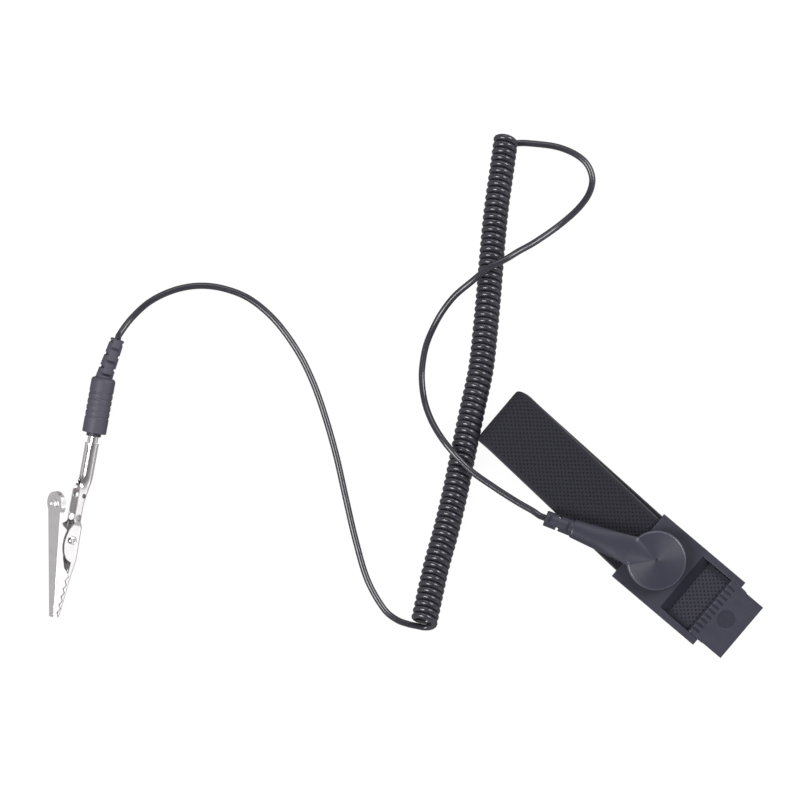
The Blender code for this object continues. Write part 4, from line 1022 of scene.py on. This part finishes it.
def snap_housing(settings, cord_hole, finishes):
    """Round housing with a low cone and a dimple, its arm and the arm's slotted strain relief."""
    radius, edge = settings.radius, settings.edge
    apex = CAP_RIM + settings.crown
    slope = settings.crown / radius
    dimple = 0.6 * MM
    bowl = [(0, apex - 0.7 * MM), (0.5 * dimple, apex - 0.6 * MM), (0.9 * dimple, apex - 0.2 * MM)]
    crest = [(1.3 * dimple, apex - 1.3 * dimple * slope)]
    cone = [(share * radius, apex - share * radius * slope) for share in np.linspace(0.1, 0.94, 12)]
    rim = arc((radius - edge, CAP_RIM - edge + 0.06 * MM), edge, 80, 0, 9)
    steps = ((0, 0.35), (0.12, 0.1), (0.35, 0))
    foot = [(radius - inset * MM, CAP_BASE + rise * MM) for inset, rise in steps]
    profile = [*bowl, *crest, *cone, *rim, *foot, (0, CAP_BASE)]
    disc = painted(turned("snap_housing", profile, 128, upright), finishes)
    stations = [*np.linspace(0.4, 8.4, 21), *np.linspace(8.6, 12, 18), *np.linspace(12.6, 29.2, 20)]
    rings = [arm_ring(settings, distance * MM) for distance in stations]
    last = np.array(arm_ring(settings, ARM_REACH))
    middle = np.array([0, 0, CORD_HEIGHT])
    for reach, share in ((29.55, 0.985), (29.75, 0.95), (29.8, 0.88)):
        ring = (last - middle) * [1, share, share] + middle
        ring[:, 0] = reach * MM
        rings.append([tuple(point) for point in ring])
    arm = loft("arm", rings)
    half = settings.relief_width / 2
    flat = (CAP_RIM - CAP_BASE) / 2 / half
    relief = slotted_relief(ARM_REACH, RELIEF_END, half, half - 0.1 * MM, 3, cord_hole, flat)
    join(disc, arm, shifted(relief, 0, 0, CORD_HEIGHT))
    cavity = rod("cavity", CAVITY_RADIUS, CAP_BASE - 1.0 * MM, CAVITY_TOP, 64, upright)
    middle = (0, 0, CORD_HEIGHT)
    bore = rod("bore", 1.45 * MM, 3.0 * MM, 28.9 * MM, 32, lengthwise, middle)
    hole = rod("hole", cord_hole, 28.0 * MM, RELIEF_END + 1.0 * MM, 32, lengthwise, middle)
    cut(disc, cavity, bore, hole)
    cleaned(disc, 0.03 * MM, 0.2)
    # Rim faces on one side take the second finish, glossier and lighter: a painted highlight.
    for face in disc.data.polygons:
        off = face.center.xy.length
        if off > radius - edge and face.center.x < 0.88 * radius and 0.15 < face.normal.z < 0.97:
            face.material_index = 1
    return moved(disc, SNAP_FRAME)


class WRISTSTRAP_OT_snap(bpy.types.Operator):
    """Makes the snap housing with its arm, and finishes the stud, socket, spring ring and resistor"""

    bl_idname = "wriststrap.snap"
    bl_label = "Snap"

    def execute(self, context):
        settings = context.scene.wrist_strap.snap
        bore = cord_bore(context)
        finishes = [
            moulded_plastic("dark moulded housing", settings.colour, settings.roughness, 0.015 * MM, 0.28),
            # Second finish: a glossy rim with a painted highlight.
            moulded_plastic("glossy rim with painted highlight", tone(settings.colour, 1.7), 0.33, 0.003 * MM, 0.6),
        ]
        settled(shaded(snap_housing(settings, bore, finishes), 14), None, "cord", "moulding", "snap_cap")
        nickel = bright_metal("nickel snap parts", (0.78, 0.77, 0.75), 0.2)
        dressed(("snap_stud", "stud_post", "snap_socket", "socket_spring"), nickel)
        dressed(("resistor",), lacquer("tan resistor lacquer", (0.55, 0.42, 0.25), 0.4))
        copper = bright_metal("tinned copper leads", (0.75, 0.68, 0.58), 0.3)
        dressed(("resistor_lead_1", "resistor_lead_2"), copper)
        return {"FINISHED"}


# Plug

def plug_grip(settings, bore):
    """Grip with rings cut round its middle, a recess for the pin's collar and a slotted strain relief."""
    rear, front, radius = HANDLE_REAR, HANDLE_FRONT, settings.radius
    shoulder = arc((radius - 1.1 * MM, rear + 1.25 * MM), 1.1 * MM, -80, 0, 8)
    profile = [(0, rear), (settings.relief_root - 0.1 * MM, rear), *shoulder]
    for i in range(settings.grooves):
        x = rear + 4.9 * MM + i * settings.groove_pitch
        for turn in np.linspace(0, math.pi, 9):
            depth = settings.groove_depth * math.sin(turn)
            profile.append((radius - depth, x + 0.9 * MM * turn / math.pi))
    rim = arc((radius - 0.4 * MM, front - 0.4 * MM), 0.4 * MM, 0, 90, 6)
    recess, floor = 3.1 * MM, front - 0.8 * MM
    profile += [*rim, (recess + 0.1 * MM, front), (recess, front - 0.1 * MM), (recess, floor), (0, floor)]
    grip = turned("plug_grip", profile, 72, lengthwise)
    relief = slotted_relief(0, settings.relief_length, settings.relief_root, settings.relief_end, 6, bore)
    back = Matrix.Translation((rear, 0, 0)) @ Matrix.Rotation(math.pi - PLUG_RELIEF_TILT, 4, "Z")
    join(grip, moved(relief, back @ Matrix.Rotation(PLUG_RELIEF_ROLL, 4, "X")))
    past = 1.0 * MM
    shank = rod("shank", 1.6 * MM, SHANK_REAR, front, 32, lengthwise)
    cord = rod("cord", bore, rear - past, SHANK_REAR + 0.3 * MM, 32, lengthwise)
    tail = moved(rod("tail", bore, -past, settings.relief_length + past, 32, lengthwise), back)
    return moved(cut(grip, shank, cord, tail), PLUG_FRAME)


class WRISTSTRAP_OT_plug(bpy.types.Operator):
    """Makes the plug's grip with its strain relief, and finishes the collar, the pin and its spring cage"""

    bl_idname = "wriststrap.plug"
    bl_label = "Plug"

    def execute(self, context):
        settings = context.scene.wrist_strap.plug
        bore = cord_bore(context)
        plastic = moulded_plastic("dark moulded grip", settings.colour, settings.roughness, 0.012 * MM, 0.22)
        settled(shaded(plug_grip(settings, bore)), plastic, "cord", "grip", "plug_handle")
        dressed(("plug_collar",), moulded_plastic("black collar", (0.02, 0.02, 0.024), 0.5))
        dressed(("plug_pin", "plug_spring"), bright_metal("nickel pin", (0.78, 0.77, 0.75), 0.16))
        return {"FINISHED"}


# Clip

BITE_START = (0.0452, 0.0019)
BITE_END = (0.0588, 0.00245)
BITE_GAP = 0.0004
TOOTH_HEIGHT = 0.001
NOSE = 0.059
NOSE_WIDTH = 0.0022
EAR_WIDTH = 0.0062
JAW_START = 0.0265
CHANNEL_TOP = 0.0031
CHANNEL_WIDTH = 0.004
BARREL_END = 0.0105
CHANNEL_START = 0.0165
EAR_CENTRE, EAR_REACH, EAR_RISE = 0.0334, 0.0066, 0.0044
JAW_ROOT = 0.026
PINCH, NECK, NECK_RUN = 0.16, 0.0143, 0.0013
BACK_HEIGHT = 0.00588
PAD_CENTRE = 0.0125


def bite_line(s):
    (s0, h0), (s1, h1) = BITE_START, BITE_END
    return h0 + (h1 - h0) * (s - s0) / (s1 - s0)


def zigzag(teeth, offset):
    points = []
    for i in range(2 * teeth + 1):
        s = between(BITE_START[0], BITE_END[0], i / (2 * teeth))
        points.append((s, bite_line(s) + offset + TOOTH_HEIGHT * (i % 2 - 0.5)))
    return points


def jaw_half_width(s):
    return between(EAR_WIDTH, NOSE_WIDTH, (s - JAW_START) / (NOSE - JAW_START)) / 2


def wall_top(s, teeth):
    """Height of the fixed half's side walls: channel, ear, then the toothed edge."""
    ear_base = bite_line(EAR_CENTRE + EAR_REACH)
    off = (s - EAR_CENTRE) / EAR_REACH
    ear = ear_base + EAR_RISE * math.sqrt(max(0.0, 1 - off * off))
    if s < EAR_CENTRE - 0.9 * EAR_REACH:
        return max(CHANNEL_TOP, ear) if abs(off) < 1 else CHANNEL_TOP
    if s < BITE_START[0]:
        return ear if off < 1 else bite_line(s)
    edge = zigzag(teeth, -BITE_GAP / 2)
    return float(np.interp(s, [point[0] for point in edge], [point[1] for point in edge]))


def wall_foot(s):
    """Height of the fixed half's underside."""
    places = (0.0138, 0.0198, 0.0265, 0.0392, 0.0462, 0.0584, 0.059)
    heights = (-0.00128, 0.0001, 0.00015, -0.0007, 0.0003, 0.00135, 0.0019)
    return float(np.interp(s, places, heights))


def folded_section(s, settings):
    """Middle line of the fixed half's sheet at s, as (height, across): a rolled tube that opens into a U."""
    sheet = settings.sheet
    count = 41
    flare = 0.1 * MM * max(0.0, 1 - s / (0.8 * MM))
    radius = settings.barrel_radius - sheet / 2 + flare
    open_half = math.asin(settings.seam / 2 / radius)
    turns = np.linspace(open_half, 2 * math.pi - open_half, count)
    tube = np.column_stack([radius * np.cos(turns), radius * np.sin(turns)])
    if s <= BARREL_END:
        return tube
    width = CHANNEL_WIDTH / 2
    if s > JAW_ROOT:
        width = between(width, jaw_half_width(s), eased((s - JAW_ROOT) / (2.2 * MM)))
    half, foot = width - sheet / 2, wall_foot(s) + sheet / 2
    top = wall_top(s, settings.teeth)
    bend = min(0.5 * MM, half * 0.6, max(0.05 * MM, (top - foot) * 0.5))
    wall = [(h, half) for h in np.linspace(top, foot + bend, 12)]
    corner = [(foot + bend + bend * math.sin(t), half - bend + bend * math.cos(t))
              for t in np.linspace(0, -math.pi / 2, 6)[1:]]
    base = [(foot, w) for w in np.linspace(half - bend, bend - half, 9)[1:-1]]
    side = wall + corner
    trough = np.array(side + base + [(h, -w) for h, w in reversed(side)])
    share = eased((s - BARREL_END) / (CHANNEL_START - BARREL_END))
    section = tube + (trough - tube) * share
    section[:, 1] *= 1 - PINCH * math.exp(-(((s - NECK) / NECK_RUN) ** 2))
    return section


def fixed_half(settings):
    """Barrel, pinched neck, wire channel, ears and toothed jaw, folded from one sheet."""
    teeth = [point[0] for point in zigzag(settings.teeth, 0)]
    runs = (
        (0.0012, BARREL_END, 6), (BARREL_END, CHANNEL_START, 19), (CHANNEL_START, JAW_ROOT, 10),
        (JAW_ROOT, 0.0402, 58), (0.0405, BITE_START[0], 6),
    )
    places = [[0, 0.0003, 0.0008], *[np.linspace(*run) for run in runs], teeth, [0.0584, NOSE]]
    stations = np.unique(np.round(np.concatenate(places), 7))
    sheet = settings.sheet / 2
    outer, inner = [], []
    for s in stations:
        section = folded_section(float(s), settings)
        along = np.gradient(section, axis=0)
        along /= np.linalg.norm(along, axis=1)[:, None]
        normal = np.column_stack([along[:, 1], -along[:, 0]])
        for rows, side in ((outer, 1), (inner, -1)):
            rows.append([(s, -h, w) for h, w in section + side * sheet * normal])
    rings = [first + second[::-1] for first, second in zip(outer, inner)]
    half = loft("clip_fixed_half", rings)
    holes = ((0.0177, 0.001, 0.8 * MM), (0.0252, 0.0017, 1.25 * MM), (PIVOT_S, PIVOT_H, 1.0 * MM))
    for s, h, radius in holes:
        cut(half, rod("hole", radius, -2 * EAR_WIDTH, 2 * EAR_WIDTH, 40, upright, (s, -h, 0)))
    return half


def in_thumb(p, q, w):
    return (p, -q, w)


def thumb_half(settings):
    """Round pad with a turned-down lip, back, toothed jaw and two ears on the pivot."""
    sheet = settings.sheet
    lip_height, start = 1.3 * MM, 10.0 * MM
    pad, pad_radius, pad_lip = (-PAD_CENTRE, 0, 0), 4.0 * MM, 1.8 * MM
    slope = Matrix.Rotation(THUMB_SLOPE, 2)
    pivot = Vector((PIVOT_S, PIVOT_H))
    teeth = [tuple(slope @ (Vector(point) - pivot)) for point in zigzag(settings.teeth, BITE_GAP / 2)]
    nose = teeth[-1][0]
    reach = (NOSE - PIVOT_S) / math.cos(THUMB_SLOPE)

    def half_width(p):
        return between(6.6 * MM, NOSE_WIDTH, (p + start) / (reach + start)) / 2

    lip = BACK_HEIGHT - lip_height
    jaw = teeth[0][0] - TOOTH_HEIGHT
    outline = [
        (-start, BACK_HEIGHT), (nose, BACK_HEIGHT), *reversed(teeth), (jaw, teeth[0][1]),
        (jaw - 2.5 * MM, (lip + teeth[0][1]) / 2), (0, lip), (-start, lip),
    ]
    half = prism("clip_thumb_half", outline, half_width, in_thumb)
    join(half, rod("pad", pad_radius, -BACK_HEIGHT, pad_lip - BACK_HEIGHT, 72, crosswise, pad))
    under = BACK_HEIGHT - sheet
    front = nose - sheet
    hollow = ((-PAD_CENTRE, under), (front, under), (front, -BACK_HEIGHT), (-PAD_CENTRE, -BACK_HEIGHT))
    inside = prism("hollow", hollow, lambda p: half_width(p) - sheet, in_thumb)
    cut(half, inside, rod("hollow", pad_radius - sheet, -under, BACK_HEIGHT, 72, crosswise, pad))
    softened(half, 0.16 * MM, 3, 45)
    top = under + sheet / 2
    ear_radius = 2.2 * MM
    ear = [(-7.0 * MM, top), (8.5 * MM, top), *arc((0, 0), ear_radius, 15, -195, 21)]
    wide = [(1.2 * p, q + math.copysign(1.0 * MM, q)) for p, q in ear]

    def ear_half(p):
        return jaw_half_width(PIVOT_S + p) - sheet - 0.12 * MM

    ears = prism("ears", ear, ear_half, in_thumb)
    cut(ears, prism("between", wide, lambda p: ear_half(p) - 0.8 * sheet, in_thumb))
    join(half, ears)
    past = 1.0 * MM
    eyelet = rod("hole", 1.05 * MM, -BACK_HEIGHT - past, -under + past, 32, crosswise, pad)
    return cut(half, rod("hole", 1.2 * MM, -EAR_WIDTH, EAR_WIDTH, 32, upright), eyelet)


def hollow_rivet():
    """Rivet through both ears, with a rolled head and a dimple at each end."""
    head = jaw_half_width(PIVOT_S - 1.45 * MM) + 0.15 * MM
    side = [(0.55 * MM, head), (0.62 * MM, head + 0.3 * MM)]
    side += arc((1.0 * MM, head + 0.15 * MM), 0.45 * MM, 140, -15, 10)
    side += [(0.9 * MM, head)]
    near = [(radius, -along) for radius, along in reversed(side)]
    return turned("clip_rivet", [(0, head - 0.1 * MM), *side, *near, (0, 0.1 * MM - head)], 40, upright)


def pad_eyelet():
    """Rolled eyelet in the thumb pad."""
    seat = BACK_HEIGHT + 0.3 * MM
    bead = arc((1.05 * MM, -seat - 0.1 * MM), 0.5 * MM, 60, -160, 12)
    profile = [(0.45 * MM, 0.5 * MM - seat), (0.75 * MM, 0.5 * MM - seat), (0.75 * MM, -seat), *bead]
    profile.append((0.45 * MM, -seat - 0.1 * MM))
    return shifted(turned("pad_eyelet", profile, 40, crosswise), -PAD_CENTRE, 0, 0)


class WRISTSTRAP_OT_clip(bpy.types.Operator):
    """Makes the spring clip: both halves, the pivot rivet and the eyelet, and finishes its spring"""

    bl_idname = "wriststrap.clip"
    bl_label = "Clip"

    def execute(self, context):
        settings = context.scene.wrist_strap.clip
        nickel = bright_metal("bright nickel plate", settings.colour, settings.roughness)
        settled(moved(shaded(fixed_half(settings)), CLIP_FRAME), nickel, "clip", "nickel", "clip_body")
        settled(moved(shaded(thumb_half(settings)), THUMB_FRAME), nickel, "jaw", "nickel", "clip_jaw")
        rivet = moved(shifted(hollow_rivet(), PIVOT_S, -PIVOT_H, 0), CLIP_FRAME)
        settled(shaded(rivet), nickel, "clip", "nickel", "clip_pivot")
        settled(moved(shaded(pad_eyelet()), THUMB_FRAME), nickel, "jaw", "nickel", "thumb_eyelet")
        dressed(("clip_spring",), bright_metal("grey spring wire", (0.5, 0.5, 0.5), 0.3), 0.01 * MM)
        return {"FINISHED"}


class WRISTSTRAP_PT_panel(bpy.types.Panel):
    """Lists the pieces of the wrist strap"""

    bl_idname = "WRISTSTRAP_PT_panel"
    bl_label = "Wrist strap"
    bl_space_type = "VIEW_3D"
    bl_region_type = "UI"
    bl_category = "Wrist strap"

    def draw(self, context):
        settings = context.scene.wrist_strap
        for operator in OPERATORS:
            self.layout.operator(operator.bl_idname)
            group = getattr(settings, operator.bl_idname.split(".")[1])
            column = self.layout.column()
            for name in group.__annotations__:
                column.prop(group, name)


OPERATORS = (
    WRISTSTRAP_OT_stage, WRISTSTRAP_OT_plug, WRISTSTRAP_OT_cord, WRISTSTRAP_OT_band, WRISTSTRAP_OT_buckle,
    WRISTSTRAP_OT_snap, WRISTSTRAP_OT_clip,
)
CLASSES = (
    StageSettings, BandSettings, BuckleSettings, SnapSettings, CordSettings, PlugSettings, ClipSettings,
    WristStrapSettings, *OPERATORS, WRISTSTRAP_PT_panel,
)


def register():
    for kind in CLASSES:
        bpy.utils.register_class(kind)
    bpy.types.Scene.wrist_strap = PointerProperty(
        type=WristStrapSettings, name="Wrist strap", description="Sizes and colours of the wrist strap",
    )


def unregister():
    del bpy.types.Scene.wrist_strap
    for kind in reversed(CLASSES):
        bpy.utils.unregister_class(kind)


def main():
    register()
    bpy.ops.wriststrap.stage()
    bpy.ops.wriststrap.plug()
    bpy.ops.wriststrap.cord()
    bpy.ops.wriststrap.band()
    bpy.ops.wriststrap.buckle()
    bpy.ops.wriststrap.snap()
    bpy.ops.wriststrap.clip()


if __name__ == "__main__":
    main()
